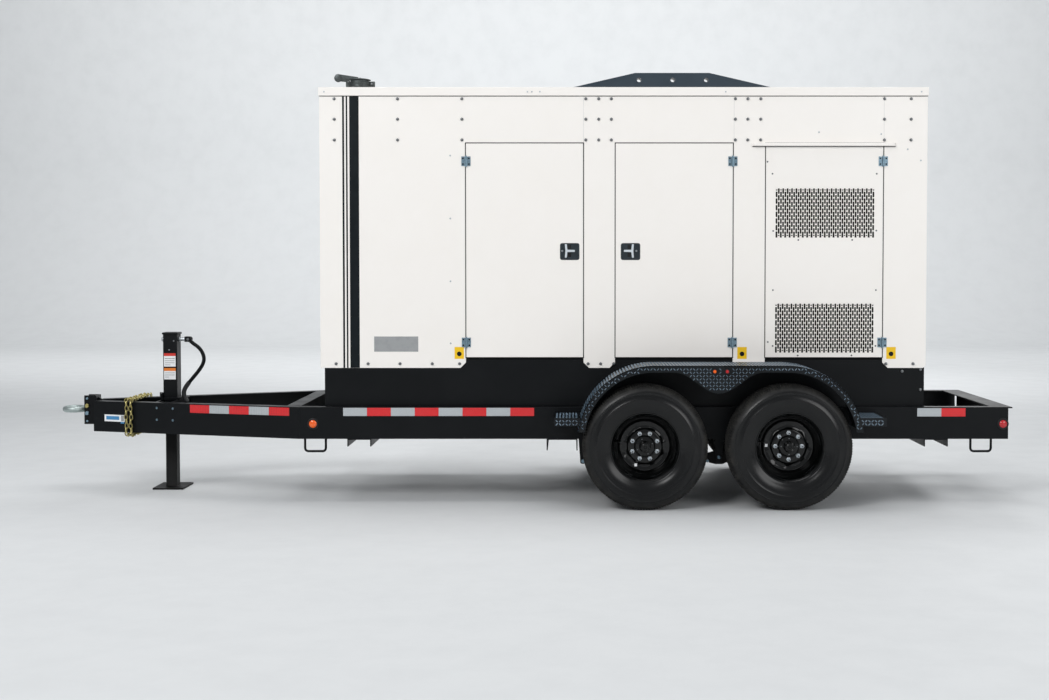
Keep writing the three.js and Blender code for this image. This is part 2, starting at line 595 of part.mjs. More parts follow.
function fan() {
  const blade = (deg) => prism([[40, -45], [FAN.r, -70], [FAN.r, 70], [40, 45]], 6).translate(0, 0, -3)
    .rotateX(THREE.MathUtils.degToRad(25)).rotateY(Math.PI / 2).rotateX(THREE.MathUtils.degToRad(deg))
    .translate(FAN.x + 30, 0, FAN.z);
  const blades = Array.from({ length: 8 }, (_, i) => blade(45 * i));
  const hub = rod('x', 80, FAN.x + 5, FAN.x + 60, [0, FAN.z], 14);
  return join(hub, rod('x', 32, FAN.x + 50, -150 - GAP, [0, FAN.z]), ...blades);
}

function controlPanel() {
  const { rear, half, bottom, top } = PANEL;
  return cut(join(box([rear - 180, rear], [-half, half], [bottom, top]),
    box([rear - 150, rear - 40], [-half + 60, half - 60], [FLOOR, bottom + 1])),
  rod('x', 15, rear - 16, rear + 5, [STOP.y, STOP.z], 12));
}

function stopButton() {
  const at = [STOP.y, STOP.z];
  return join(rod('x', 13.5, PANEL.rear - 8, PANEL.rear + 12, at, 12),
    rod('x', 24, PANEL.rear + 9, PANEL.rear + 26, at, 16));
}

add('radiator', radiator(), FINISH.core);
add('fan', fan(), FINISH.plastic);
add('engine', engine(), FINISH.engine);
add('alternator', alternator(), FINISH.alternator);
add('battery', box([1950, 2250], [-470, -290], [FLOOR, 1120]), FINISH.plastic);
add('control_panel', controlPanel(), FINISH.panelGrey);
add('stop_button', stopButton(), FINISH.red);

export default group;
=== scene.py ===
"""A towable diesel generator: a sound-proof canopy on a tandem-axle trailer, dressed piece by piece.

Metres. +X runs from the towing eye to the rear end, +Z is up, and the trailer's left side is -Y.
"""
import json
import math

import bmesh
import bpy
import numpy as np
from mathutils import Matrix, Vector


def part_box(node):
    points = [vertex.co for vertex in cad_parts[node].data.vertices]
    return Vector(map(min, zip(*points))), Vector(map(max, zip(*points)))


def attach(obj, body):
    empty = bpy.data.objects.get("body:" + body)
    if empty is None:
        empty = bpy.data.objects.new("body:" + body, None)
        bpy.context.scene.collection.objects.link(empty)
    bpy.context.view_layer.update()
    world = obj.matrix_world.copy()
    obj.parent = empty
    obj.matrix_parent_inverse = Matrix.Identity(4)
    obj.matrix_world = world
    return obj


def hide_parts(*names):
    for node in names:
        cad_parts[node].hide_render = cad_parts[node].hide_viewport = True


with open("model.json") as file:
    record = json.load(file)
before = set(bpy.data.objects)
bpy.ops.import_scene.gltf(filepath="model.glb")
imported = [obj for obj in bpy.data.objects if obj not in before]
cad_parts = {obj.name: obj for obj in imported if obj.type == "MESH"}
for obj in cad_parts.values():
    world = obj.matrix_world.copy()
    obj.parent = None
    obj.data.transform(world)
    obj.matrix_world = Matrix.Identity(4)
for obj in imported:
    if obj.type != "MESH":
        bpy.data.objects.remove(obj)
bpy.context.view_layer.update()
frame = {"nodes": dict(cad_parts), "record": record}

NODES = frame["nodes"]
SIDES = {"left": 1.0, "right": -1.0}  # every side piece is worked out for the left and mirrored for the right


def middle(node):
    """The centre of a CAD node's box."""
    low, high = (np.array(corner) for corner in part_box(node))
    return (low + high) / 2


# ---------- camera, world and light ----------
def set_up_studio():
    """A long lens looking square at the left side, a pale world, and soft light from above and in front."""
    scene = bpy.context.scene
    scene.view_settings.view_transform = "Standard"
    lens = bpy.data.cameras.new("camera")
    lens.sensor_width, lens.lens, lens.clip_end = 36.0, 47.2, 300.0
    lens.shift_x, lens.shift_y = -0.0434, -0.0377
    camera = bpy.data.objects.new("camera", lens)
    camera.location, camera.rotation_euler = (0.316, -9.31, 1.5), (math.radians(88.15), 0, 0)
    scene.collection.objects.link(camera)
    scene.camera = camera

    world = bpy.data.worlds.new("pale_room")
    world.use_nodes = True
    world.node_tree.nodes["Background"].inputs["Color"].default_value = (0.93, 0.96, 1.0, 1)
    world.node_tree.nodes["Background"].inputs["Strength"].default_value = 0.42
    scene.world = world
    lamps = {  # name: (place, aimed at, width, height, watts)
        "key": ((-5.0, -9.0, 8.0), (0, 0, 1.2), 5.0, 4.0, 600),
        "fill": ((7.0, -8.0, 4.0), (0.5, 0, 1.0), 5.0, 4.0, 225),
        "top": ((0.5, 0.5, 9.0), (0.5, 0, 0), 9.0, 5.0, 420),
        "back": ((3.0, 9.0, 6.0), (0, 0, 1.0), 6.0, 4.0, 300),
        "wall": ((0.0, 9.0, 9.0), (0, 20, 4.0), 24.0, 4.0, 1700),
    }
    for name, (place, aim, width, height, watts) in lamps.items():
        light = bpy.data.lights.new(name, "AREA")
        light.shape, light.size, light.size_y, light.energy = "RECTANGLE", width, height, watts
        lamp = bpy.data.objects.new(name, light)
        towards = np.array(aim) - np.array(place)
        lamp.location = place
        lamp.rotation_euler = (math.acos(-towards[2] / np.linalg.norm(towards)), 0,
                               math.atan2(towards[1], towards[0]) - math.pi / 2)
        scene.collection.objects.link(lamp)


set_up_studio()


# ---------- finishes ----------
def shade(code):
    """An sRGB hex code as a linear colour."""
    parts = np.array([int(code[i:i + 2], 16) for i in (1, 3, 5)]) / 255
    linear = np.where(parts <= 0.04045, parts / 12.92, ((parts + 0.055) / 1.055) ** 2.4)
    return (*linear.tolist(), 1.0)


def add(tree, kind, inputs=None, **settings):
    """One node: settings are its own choices, and inputs are values or other nodes' outputs."""
    node = tree.nodes.new(kind)
    for key, value in settings.items():
        setattr(node, key, value)
    for key, value in (inputs or {}).items():
        if isinstance(value, bpy.types.NodeSocket):
            tree.links.new(value, node.inputs[key])
        else:
            node.inputs[key].default_value = value
    return node


def started(name, **sockets):
    """A material with its shader, its tree and the object coordinates that patterns read."""
    made = bpy.data.materials.new(name)
    made.use_nodes = True
    tree = made.node_tree
    tree.nodes.clear()
    shader = add(tree, "ShaderNodeBsdfPrincipled", sockets)
    add(tree, "ShaderNodeOutputMaterial", {"Surface": shader.outputs[0]})
    where = add(tree, "ShaderNodeTexCoord").outputs["Object"]
    return made, tree, shader, where


def painted(name, colour, dust, rough, lump, relief, haze=0.3, **sockets):
    """Sprayed paint on steel: clouds of dust 0.3 m across, an orange peel whose lumps are in mm, and uneven gloss."""
    made, tree, shader, where = started(name, **sockets)
    clouds = add(tree, "ShaderNodeTexNoise", {"Vector": where, "Scale": 1 / 0.3, "Detail": 6.0, "Roughness": 0.6})
    dusty = add(tree, "ShaderNodeMapRange",
                {"Value": clouds.outputs["Fac"], "From Min": 0.42, "From Max": 0.75, "To Max": haze})
    skin = add(tree, "ShaderNodeMix", {0: dusty.outputs[0], 6: shade(colour), 7: shade(dust)}, data_type="RGBA")
    gloss = add(tree, "ShaderNodeMapRange", {"Value": clouds.outputs["Fac"], "From Min": 0.3, "From Max": 0.7,
                                             "To Min": rough * 0.85, "To Max": min(rough * 1.2, 1.0)})
    peel = add(tree, "ShaderNodeTexNoise", {"Vector": where, "Scale": 1000 / lump, "Detail": 2.0})
    bump = add(tree, "ShaderNodeBump", {"Height": peel.outputs["Fac"], "Strength": 0.35, "Distance": relief / 1000})
    tree.links.new(skin.outputs[2], shader.inputs["Base Color"])
    tree.links.new(gloss.outputs[0], shader.inputs["Roughness"])
    tree.links.new(bump.outputs[0], shader.inputs["Normal"])
    return made


def plated(name, colour, stain, rough, grain, **sockets):
    """Plated or bare metal: crystals or brush marks of a size in mm, each with its own tone and gloss."""
    made, tree, shader, where = started(name, Metallic=1.0, **sockets)
    crystals = add(tree, "ShaderNodeTexVoronoi", {"Vector": where, "Scale": 1000 / grain})
    grime = add(tree, "ShaderNodeTexNoise", {"Vector": where, "Scale": 1 / 0.04, "Detail": 5.0})
    mixed = add(tree, "ShaderNodeMath", {0: crystals.outputs["Distance"], 1: grime.outputs["Fac"]},
                operation="MULTIPLY")
    skin = add(tree, "ShaderNodeMix", {0: mixed.outputs[0], 6: shade(colour), 7: shade(stain)}, data_type="RGBA")
    gloss = add(tree, "ShaderNodeMapRange", {"Value": grime.outputs["Fac"], "From Min": 0.3, "From Max": 0.7,
                                             "To Min": rough * 0.75, "To Max": min(rough * 1.35, 1.0)})
    bump = add(tree, "ShaderNodeBump", {"Height": mixed.outputs[0], "Strength": 0.25, "Distance": 0.0002})
    tree.links.new(skin.outputs[2], shader.inputs["Base Color"])
    tree.links.new(gloss.outputs[0], shader.inputs["Roughness"])
    tree.links.new(bump.outputs[0], shader.inputs["Normal"])
    return made


def moulded(name, colour, worn, rough, grain, **sockets):
    """Moulded plastic or rubber: a fine grain of a size in mm, and paler rubbed patches 30 mm across."""
    made, tree, shader, where = started(name, **sockets)
    texture = add(tree, "ShaderNodeTexNoise", {"Vector": where, "Scale": 1000 / grain, "Detail": 3.0})
    patches = add(tree, "ShaderNodeTexNoise", {"Vector": where, "Scale": 1 / 0.03, "Detail": 4.0})
    rubbed = add(tree, "ShaderNodeMapRange",
                 {"Value": patches.outputs["Fac"], "From Min": 0.45, "From Max": 0.8, "To Max": 0.6})
    skin = add(tree, "ShaderNodeMix", {0: rubbed.outputs[0], 6: shade(colour), 7: shade(worn)}, data_type="RGBA")
    gloss = add(tree, "ShaderNodeMapRange", {"Value": patches.outputs["Fac"], "From Min": 0.3, "From Max": 0.7,
                                             "To Min": rough * 0.8, "To Max": min(rough * 1.25, 1.0)})
    bump = add(tree, "ShaderNodeBump", {"Height": texture.outputs["Fac"], "Strength": 0.3, "Distance": 0.0002})
    tree.links.new(skin.outputs[2], shader.inputs["Base Color"])
    tree.links.new(gloss.outputs[0], shader.inputs["Roughness"])
    tree.links.new(bump.outputs[0], shader.inputs["Normal"])
    return made


def reflective_film(name, colour, facet):
    """Prismatic marking tape: sealed cells 4 mm across with darker borders, under a clear glossy face."""
    made, tree, shader, where = started(name, Roughness=0.3, **{"Coat Weight": 0.5, "Coat Roughness": 0.1})
    cells = add(tree, "ShaderNodeTexVoronoi", {"Vector": where, "Scale": 1000 / 4.0, "Randomness": 0.15},
                feature="DISTANCE_TO_EDGE")
    border = add(tree, "ShaderNodeMapRange", {"Value": cells.outputs["Distance"], "From Max": 0.12,
                                              "To Min": 1.0, "To Max": 0.0})
    skin = add(tree, "ShaderNodeMix", {0: border.outputs[0], 6: shade(colour), 7: shade(facet)}, data_type="RGBA")
    tree.links.new(skin.outputs[2], shader.inputs["Base Color"])
    return made


def tyre_rubber():
    """Cured tyre rubber: the sidewall is smooth and dressed, and the tread is dry and dusty where "worn" is 1."""
    made, tree, shader, where = started("tyre_rubber", **{"Specular IOR Level": 0.36})
    worn = add(tree, "ShaderNodeAttribute", attribute_name="worn").outputs["Fac"]
    clouds = add(tree, "ShaderNodeTexNoise", {"Vector": where, "Scale": 1 / 0.05, "Detail": 6.0, "Roughness": 0.65})
    patchy = add(tree, "ShaderNodeMapRange", {"Value": clouds.outputs["Fac"], "From Min": 0.35, "From Max": 0.7})
    dust = add(tree, "ShaderNodeMath", {0: patchy.outputs[0], 1: worn}, operation="MULTIPLY")
    skin = add(tree, "ShaderNodeMix", {0: dust.outputs[0], 6: shade("#040506"), 7: shade("#2b2a27")},
               data_type="RGBA")
    dry = add(tree, "ShaderNodeMapRange", {"Value": worn, "To Min": 0.23, "To Max": 0.85})
    grain = add(tree, "ShaderNodeTexNoise", {"Vector": where, "Scale": 1000 / 1.5, "Detail": 2.0})
    bump = add(tree, "ShaderNodeBump", {"Height": grain.outputs["Fac"], "Strength": 0.3, "Distance": 0.0003})
    tree.links.new(skin.outputs[2], shader.inputs["Base Color"])
    tree.links.new(dry.outputs[0], shader.inputs["Roughness"])
    tree.links.new(bump.outputs[0], shader.inputs["Normal"])
    return made


def finned_core():
    """A radiator's face: aluminium fins 3 mm apart, drawn 6 mm apart so that they show, painted black."""
    made, tree, shader, where = started("radiator_fins", Roughness=0.6, Metallic=0.3)
    rows = add(tree, "ShaderNodeTexWave", {"Vector": where, "Scale": 1000 / 6.0 / 6.283, "Distortion": 0.3},
               bands_direction="Z")
    skin = add(tree, "ShaderNodeMix", {0: rows.outputs["Fac"], 6: shade("#0d0e0f"), 7: shade("#3a3d3f")},
               data_type="RGBA")
    bump = add(tree, "ShaderNodeBump", {"Height": rows.outputs["Fac"], "Strength": 0.5, "Distance": 0.001})
    tree.links.new(skin.outputs[2], shader.inputs["Base Color"])
    tree.links.new(bump.outputs[0], shader.inputs["Normal"])
    return made


# Polyester powder coat, baked: a fine orange peel under an even satin gloss.
WHITE = painted("powder_coat_white", "#f6f2ed", "#efeae2", 0.42, 3.0, 0.05, haze=0.25)
# Chassis enamel over blasted steel: semi-gloss, with a little road dust in clouds.
BLACK = painted("chassis_enamel_black", "#04070a", "#0c0f12", 0.42, 5.0, 0.25, haze=0.5,
                **{"Specular IOR Level": 0.2})
# The same enamel with dirt from the road, on the running gear.
GEAR = painted("running_gear_enamel", "#050606", "#131211", 0.55, 6.0, 0.3, haze=0.6,
               **{"Specular IOR Level": 0.2})
# Two-coat wheel lacquer: hard, deep gloss.
WHEEL_GLOSS = painted("wheel_lacquer_black", "#030404", "#08090a", 0.12, 4.0, 0.03, haze=0.4,
                      **{"Specular IOR Level": 0.3, "Coat Weight": 0.15, "Coat Roughness": 0.05})
# Enamel on rolled chequer plate. The raised lugs are a paler blue-grey than the plate: a painted highlight for the
# light they catch, on paint that is also rubbed.
TREAD = painted("chequer_plate_enamel", "#080d11", "#10171c", 0.28, 4.0, 0.15, haze=0.5,
                **{"Specular IOR Level": 0.3})
LUG_PAINTED_HIGHLIGHT = painted("chequer_plate_lugs_painted_highlight", "#4c5d6b", "#8b9eae", 0.18, 4.0, 0.1, haze=0.8)
# Slate two-pack enamel on the lifting beam.
SLATE = painted("two_pack_enamel_slate", "#1f2e39", "#2a3945", 0.4, 4.0, 0.2, haze=0.4)
ENGINE_GREY = painted("engine_enamel_grey", "#b9bcba", "#8c8f8c", 0.45, 6.0, 0.6, haze=0.6)
ALTERNATOR_BLUE = painted("alternator_enamel_blue", "#23415c", "#1a2c3c", 0.45, 5.0, 0.4, haze=0.6)
PANEL_GREY = painted("cabinet_powder_coat_grey", "#8d9293", "#7b8081", 0.5, 3.0, 0.1)
# Bright zinc with clear passivate: cool, slightly blue, dull between crystals.
ZINC = plated("zinc_plate_clear", "#c9ced2", "#7f878c", 0.32, 3.0)
HINGE_ZINC = plated("zinc_plate_blue", "#94aebd", "#3c505d", 0.38, 9.0)
STAINLESS = plated("stainless_fasteners", "#85888a", "#3f4244", 0.34, 2.0)
GOLD_ZINC = plated("zinc_plate_yellow", "#c9bd7e", "#5e5738", 0.36, 4.0)
PIPE = plated("scaled_exhaust_steel", "#5d6364", "#3a3833", 0.6, 6.0)
LATCH_BLACK = moulded("glass_filled_nylon_black", "#101214", "#1f2225", 0.4, 1.0)
PAN_BLUE = moulded("glass_filled_nylon_blue_black", "#1c262c", "#28343b", 0.35, 1.0)
PULL_SILVER = plated("zinc_die_casting_satin", "#e2e8ec", "#c3cbd1", 0.55, 2.0)
FORGED_ZINC = plated("galvanised_forging", "#b4bfbd", "#97a2a0", 0.5, 12.0)
DARK_PLASTIC = moulded("polypropylene_black", "#16181a", "#24272a", 0.5, 1.5)
SEALANT = moulded("polyurethane_sealant_grey", "#c4c5c4", "#b5b6b5", 0.6, 2.0)
SEAL = moulded("door_seal_rubber", "#0d0e0f", "#1c1d1e", 0.75, 2.0)
FOAM = moulded("sound_foam_charcoal", "#1a1c12", "#26281c", 0.95, 8.0)
AMBER = moulded("acrylic_lens_amber", "#ee5c06", "#f97412", 0.18, 2.0, **{"Coat Weight": 0.6})
RED_LENS = moulded("acrylic_lens_red", "#b3131c", "#d8232c", 0.18, 2.0, **{"Coat Weight": 0.6})
STOP_RED = moulded("abs_red", "#c21a1a", "#d23a33", 0.3, 1.0)
TAPE_RED = reflective_film("marking_tape_red", "#dd0f18", "#a80d16")
TAPE_WHITE = reflective_film("marking_tape_white", "#b6bbbe", "#92999d")
VINYL_BLACK = moulded("vinyl_film_black", "#0a1216", "#101a1f", 0.42, 3.0, **{"Specular IOR Level": 0.2})
VINYL_YELLOW = moulded("vinyl_film_yellow", "#f4c613", "#eab80a", 0.4, 3.0)
VINYL_WHITE = moulded("vinyl_film_white", "#eceeef", "#dcdfe1", 0.4, 3.0)
VINYL_RED = moulded("vinyl_film_red", "#cf3327", "#bb2a20", 0.4, 3.0)
VINYL_ORANGE = moulded("vinyl_film_orange", "#e07a1f", "#cf6c17", 0.4, 3.0)
VINYL_BLUE = moulded("vinyl_film_blue", "#3e86b8", "#3479aa", 0.4, 3.0)
VINYL_SILVER = moulded("vinyl_film_silver", "#9b9d9e", "#8b8d8e", 0.35, 3.0)
TYRE = tyre_rubber()
CORE = finned_core()


# ---------- surfaces ----------
def patch(points, wrap_rows=False, wrap_columns=True):
    """Four-sided faces between neighbouring points of a rows by columns array; wrapping joins last to first."""
    rows, columns = points.shape[:2]
    i = np.arange(rows if wrap_rows else rows - 1)[:, None]
    j = np.arange(columns if wrap_columns else columns - 1)[None, :]
    below, beside = (i + 1) % rows, (j + 1) % columns
    faces = np.stack([i * columns + j, i * columns + beside, below * columns + beside, below * columns + j], axis=-1)
    return points.reshape(-1, 3), faces.reshape(-1, 4).tolist()


def turned(profile, centre, axis, sides, closed=False):
    """A profile of (radius, distance along the axis) swept round it: centre + along*axis + radius*(cos t, sin t)."""
    profile = np.array(profile, float)
    t = np.arange(sides) * 2 * np.pi / sides + np.pi / sides
    around, up = np.roll(np.eye(3), -1, axis=0)["xyz".index(axis)], np.roll(np.eye(3), -2, axis=0)["xyz".index(axis)]
    ring = np.cos(t)[:, None] * around + np.sin(t)[:, None] * up
    points = (np.array(centre) + profile[:, None, 1:] * np.eye(3)["xyz".index(axis)]
              + profile[:, None, :1] * ring[None])
    return patch(points, wrap_rows=closed)


def slab(outline, axis, low, high):
    """A flat outline, in the two coordinates left when the axis is taken out, carried from low to high."""
    flat = np.array(outline, float)
    k, at = len(flat), "xyz".index(axis)
    points = np.insert(np.tile(flat, (2, 1)), at, np.repeat([low, high], k), axis=1)
    j = np.arange(k)
    walls = np.stack([j, (j + 1) % k, (j + 1) % k + k, j + k], axis=-1).tolist()
    return points, [*walls, j[::-1].tolist(), (j + k).tolist()]


def block(low, high):
    """A box between two corners, as a rectangle carried upwards."""
    (x0, y0, z0), (x1, y1, z1) = np.minimum(low, high), np.maximum(low, high)
    return slab([(x0, y0), (x1, y0), (x1, y1), (x0, y1)], "z", z0, z1)


def rounded(points, bend, steps=6, closed=False):
    """A path whose corners are quadratic curves from bend before each corner to bend after it."""
    p = np.array(points, float)
    before, after = np.roll(p, 1, axis=0) - p, np.roll(p, -1, axis=0) - p
    start = p + before * (bend / np.linalg.norm(before, axis=1))[:, None]
    end = p + after * (bend / np.linalg.norm(after, axis=1))[:, None]
    t = np.linspace(0, 1, steps + 1)[None, :, None]
    curves = (1 - t) ** 2 * start[:, None] + 2 * t * (1 - t) * p[:, None] + t ** 2 * end[:, None]
    if closed:
        return curves.reshape(-1, p.shape[1])
    return np.concatenate([p[:1], curves[1:-1].reshape(-1, p.shape[1]), p[-1:]])


def rectangle(u0, u1, v0, v1, bend=0.0, steps=4):
    """A rectangle's outline, with its corners rounded by bend."""
    corners = [(u0, v0), (u1, v0), (u1, v1), (u0, v1)]
    return rounded(corners, bend, steps, closed=True) if bend else np.array(corners)


def tube(path, radius, sides=16, closed=False, caps=True):
    """A round bar along a path: a ring square to it at each point, turned as little as possible from the last."""
    p = np.array(path, float)
    along = np.roll(p, -1, axis=0) - np.roll(p, 1, axis=0)
    if not closed:
        along[0], along[-1] = p[1] - p[0], p[-1] - p[-2]
    along /= np.linalg.norm(along, axis=1)[:, None]
    across = [np.cross(along[0], (0.31, 0.87, 0.38))]
    for step in along[1:]:  # one vector carried down the path, not one for each vertex
        across.append(across[-1] - step * np.dot(across[-1], step))
    across = np.array(across) / np.linalg.norm(across, axis=1)[:, None]
    t = np.arange(sides) * 2 * np.pi / sides
    r = np.broadcast_to(radius, len(p))[:, None, None]
    ring = np.cos(t)[None, :, None] * across[:, None] + np.sin(t)[None, :, None] * np.cross(along, across)[:, None]
    points, faces = patch(p[:, None] + r * ring, wrap_rows=closed)
    if caps and not closed:
        faces += [list(range(sides))[::-1], list(range(len(points) - sides, len(points)))]
    return points, faces


def repeated(shell, places, turns=None):
    """The same small shell at every place, each turned by its own 3 by 3 matrix if turns are given."""
    points, faces = shell
    places = np.array(places, float).reshape(-1, 3)
    turned_points = np.broadcast_to(points, (len(places), *points.shape)) if turns is None else \
        np.einsum("nij,kj->nki", np.array(turns), points)
    every = (turned_points + places[:, None]).reshape(-1, 3)
    return every, [[v + n * len(points) for v in face] for n in range(len(places)) for face in faces]


def facing(normal):
    """The matrix that turns +Z to the normal, keeping +Y as near to up as it can."""
    n = np.array(normal, float) / np.linalg.norm(normal)
    side = np.cross((0, 0, 1) if abs(n[2]) < 0.9 else (0, 1, 0), n)
    side /= np.linalg.norm(side)
    return np.stack([side, np.cross(n, side), n], axis=1)


def heads(places, normal, radius, height, sides=6):
    """Bolt heads or rivets: a chamfered disc or hexagon standing on each place, with a domed top."""
    profile = [(0, -0.3), (1, -0.3), (1, 0.55), (0.82, 0.85), (0.4, 1.0), (0, 1.02)]
    points, faces = turned([(r * radius, z * height) for r, z in profile], (0, 0, 0), "z", sides)
    return repeated((points @ facing(normal).T, faces), places)


def mirrored(shells, sign):
    """The same shells on the trailer's other side when sign is -1."""
    return [(points * (1, sign, 1), faces) for points, faces in shells]


def piece(name, body, shells, soften=0.0, sharp=35, replaces=(), sign=1.0, segments=2):
    """One object from {finish: [shells]}: doubles merged, faces outwards, edges softened, riding on its body."""
    points, faces, finish_of, finishes = [], [], [], []
    count = 0
    for number, (finish, group) in enumerate(shells.items()):
        finishes.append(finish)
        for shell_points, shell_faces in mirrored(group, sign):
            points.append(shell_points)
            faces += [[v + count for v in face] for face in shell_faces]
            finish_of += [number] * len(shell_faces)
            count += len(shell_points)
    mesh = bpy.data.meshes.new(name)
    mesh.from_pydata(np.concatenate(points).tolist(), [], faces)
    mesh.polygons.foreach_set("material_index", finish_of)
    work = bmesh.new()
    work.from_mesh(mesh)
    bmesh.ops.remove_doubles(work, verts=work.verts, dist=1e-6)
    bmesh.ops.recalc_face_normals(work, faces=work.faces)
    work.to_mesh(mesh)
    work.free()
    mesh.shade_smooth()
    mesh.set_sharp_from_angle(angle=math.radians(sharp))
    for finish in finishes:
        mesh.materials.append(finish)
    made = bpy.data.objects.new(name, mesh)
    bpy.context.scene.collection.objects.link(made)
    if soften:
        edge = made.modifiers.new("soft_edges", "BEVEL")
        edge.width, edge.segments, edge.limit_method, edge.angle_limit = soften, segments, "ANGLE", math.radians(40)
        edge.harden_normals = False
    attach(made, body)
    if replaces:
        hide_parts(*replaces)
    return made


BODY_OF = {node: body for body, members in frame["record"]["behaviour"]["bodies"].items() for node in members}


def softened(node, finish, width, name=None):
    """A CAD solid as it stands, with its doubles merged, its flat faces whole and its edges rounded."""
    work = bmesh.new()
    work.from_mesh(NODES[node].data)
    bmesh.ops.remove_doubles(work, verts=work.verts, dist=1e-6)
    bmesh.ops.dissolve_limit(work, angle_limit=math.radians(1), verts=work.verts, edges=work.edges)
    mesh = bpy.data.meshes.new(name or f"{node}_finished")
    work.to_mesh(mesh)
    work.free()
    mesh.shade_smooth()
    mesh.set_sharp_from_angle(angle=math.radians(30))
    mesh.materials.append(finish)
    made = bpy.data.objects.new(mesh.name, mesh)
    bpy.context.scene.collection.objects.link(made)
    edge = made.modifiers.new("soft_edges", "BEVEL")
    edge.width, edge.segments, edge.limit_method, edge.angle_limit = width, 2, "ANGLE", math.radians(30)
    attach(made, BODY_OF[node])
    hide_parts(node)
    return made


# ---------- wheels and tyres ----------
# (radius, distance outwards from the tyre's middle plane), from the bead over the sidewall to the tread's centre
TYRE_HALF = np.array([
    (204.5, 66), (203.5, 78), (208, 86), (217, 94), (219, 96), (222, 96.5), (236, 105), (258, 113.5), (280, 117.3),
    (296, 117.6), (297.5, 118.6), (300, 118.6), (301.5, 117.4), (320, 115.2), (337, 111.8), (338.5, 112.8),
    (341, 112.6), (342.5, 110.6), (354, 107), (363, 103.8), (370, 100), (376, 95.5), (380.5, 90), (383.5, 83),
    (385.3, 74), (386.2, 62), (386.7, 49), (378.5, 47.5), (378.5, 41.5), (386.8, 40), (387, 28), (387, 20),
    (378.5, 18.5), (378.5, 12.5), (387, 11)]) / 1000
TYRE_LINER = np.array([(209, 62), (288, 100), (368, 76)]) / 1000
TREAD_PITCHES = 144


def tyre(centre):
    """Radius and width as functions of the angle: the profile, less a slit at every third step round the shoulder,
    with the ribs' edges swung sideways by a sine of 16 steps."""
    other = TYRE_HALF[::-1] * (1, -1)
    liner = np.concatenate([TYRE_LINER * (1, -1), TYRE_LINER[::-1]])
    profile = np.concatenate([TYRE_HALF, other, liner])
    steps = np.arange(3 * TREAD_PITCHES)
    r, a = profile[:, :1], profile[:, 1:]
    outside = np.arange(len(profile))[:, None] < 2 * len(TYRE_HALF)
    shoulder = outside & (r > 0.360) & (np.abs(a) > 0.055)
    slit = shoulder * (steps % 3 == 0)[None]
    deep = 0.0045 * slit * np.clip((r - 0.360) / 0.02, 0, 1)
    rib = outside & (np.abs(a) < 0.052)
    radius = r - deep
    across = a - np.sign(a) * 0.7 * deep + rib * 0.0028 * np.sin(2 * np.pi * steps / 9)[None]
    angle = steps * 2 * np.pi / len(steps)
    points = np.stack([centre[0] + radius * np.cos(angle), centre[1] - across,
                       centre[2] + radius * np.sin(angle)], axis=-1)
    return patch(points, wrap_rows=True)


# (radius, distance outwards) of one closed section: rim lip, outer barrel, dished disc, inner barrel, bead seats
WHEEL_SECTION = np.array([
    (215.5, 86), (216.5, 89.5), (214.5, 92), (209.5, 91.5), (205.5, 87), (204, 80), (200, 76.5), (197.5, 70),
    (197, 52), (194, 44), (189, 38), (187, 20), (184, 8), (182, -6), (177, -14), (168, -12), (160, -4), (155.5, 3.5),
    (152, 5), (146, 4.5), (138, 2), (128, 0), (118, 2), (111, 5), (107, 10), (103, 15.5), (99, 17), (70, 17),
    (65, 16), (64, 9), (97, 9), (103, 2), (112, -5), (138, -6), (152, -3), (164, -18), (178, -24), (180, -60),
    (192, -74), (200, -80), (205, -88), (210, -92), (215.5, -90), (216, -86), (206, -78), (204.5, -66), (196, -60),
    (190, -20), (192, 30), (200, 60), (204.5, 66), (206, 78)]) / 1000
HUB_SECTION = np.array([
    (0, 71), (6, 71), (7.5, 69.6), (9.5, 69.6), (11, 71.5), (19, 71.5), (21, 70.3), (23.5, 72), (28, 71), (30, 68),
    (31.5, 60), (33, 42), (36, 38), (46, 36.5), (57, 35), (61, 32), (63, 24), (63.5, 10), (50, 8), (50, -50),
    (0, -50)]) / 1000
DRUM_SECTION = np.array([(51, -12), (150, -12), (157, -18), (158, -24), (163, -27), (165, -34), (165, -146),
                         (161, -150), (150, -150), (148, -30), (51, -24)]) / 1000
NUT_SECTION = np.array([(0, 27), (4.5, 27), (6, 25.5), (6, 20), (8.5, 20), (9, 22.5), (10.8, 21), (11.6, 18),
                        (11.6, 3), (14, 2), (14, 0), (0, 0)]) / 1000


def wheel(centre, first_nut):
    """The closed section swept round, with eight shallow pockets pressed into the disc.

    The face sinks 2.5 mm times a bell in radius times the positive part of cos(8t) to the power 0.7.
    """
    sides = 160
    t = np.arange(sides) * 2 * np.pi / sides
    r, a = WHEEL_SECTION[:, :1], WHEEL_SECTION[:, 1:]
    on_disc = (np.arange(len(WHEEL_SECTION))[:, None] > 15) & (np.arange(len(WHEEL_SECTION))[:, None] < 29)
    pocket = np.exp(-((r - 0.128) / 0.013) ** 2) * np.clip(np.cos(8 * (t - first_nut))[None], 0, 1) ** 0.7
    across = a - 0.0025 * on_disc * pocket
    points = np.stack([centre[0] + r * np.cos(t), centre[1] - across, centre[2] + r * np.sin(t)], axis=-1)
    return patch(points, wrap_rows=True)


def outwards(section, centre, sides=72, closed=False):
    """A turned section whose second number grows away from the trailer, on the left side."""
    return turned(section * (1, -1), centre, "y", sides, closed)


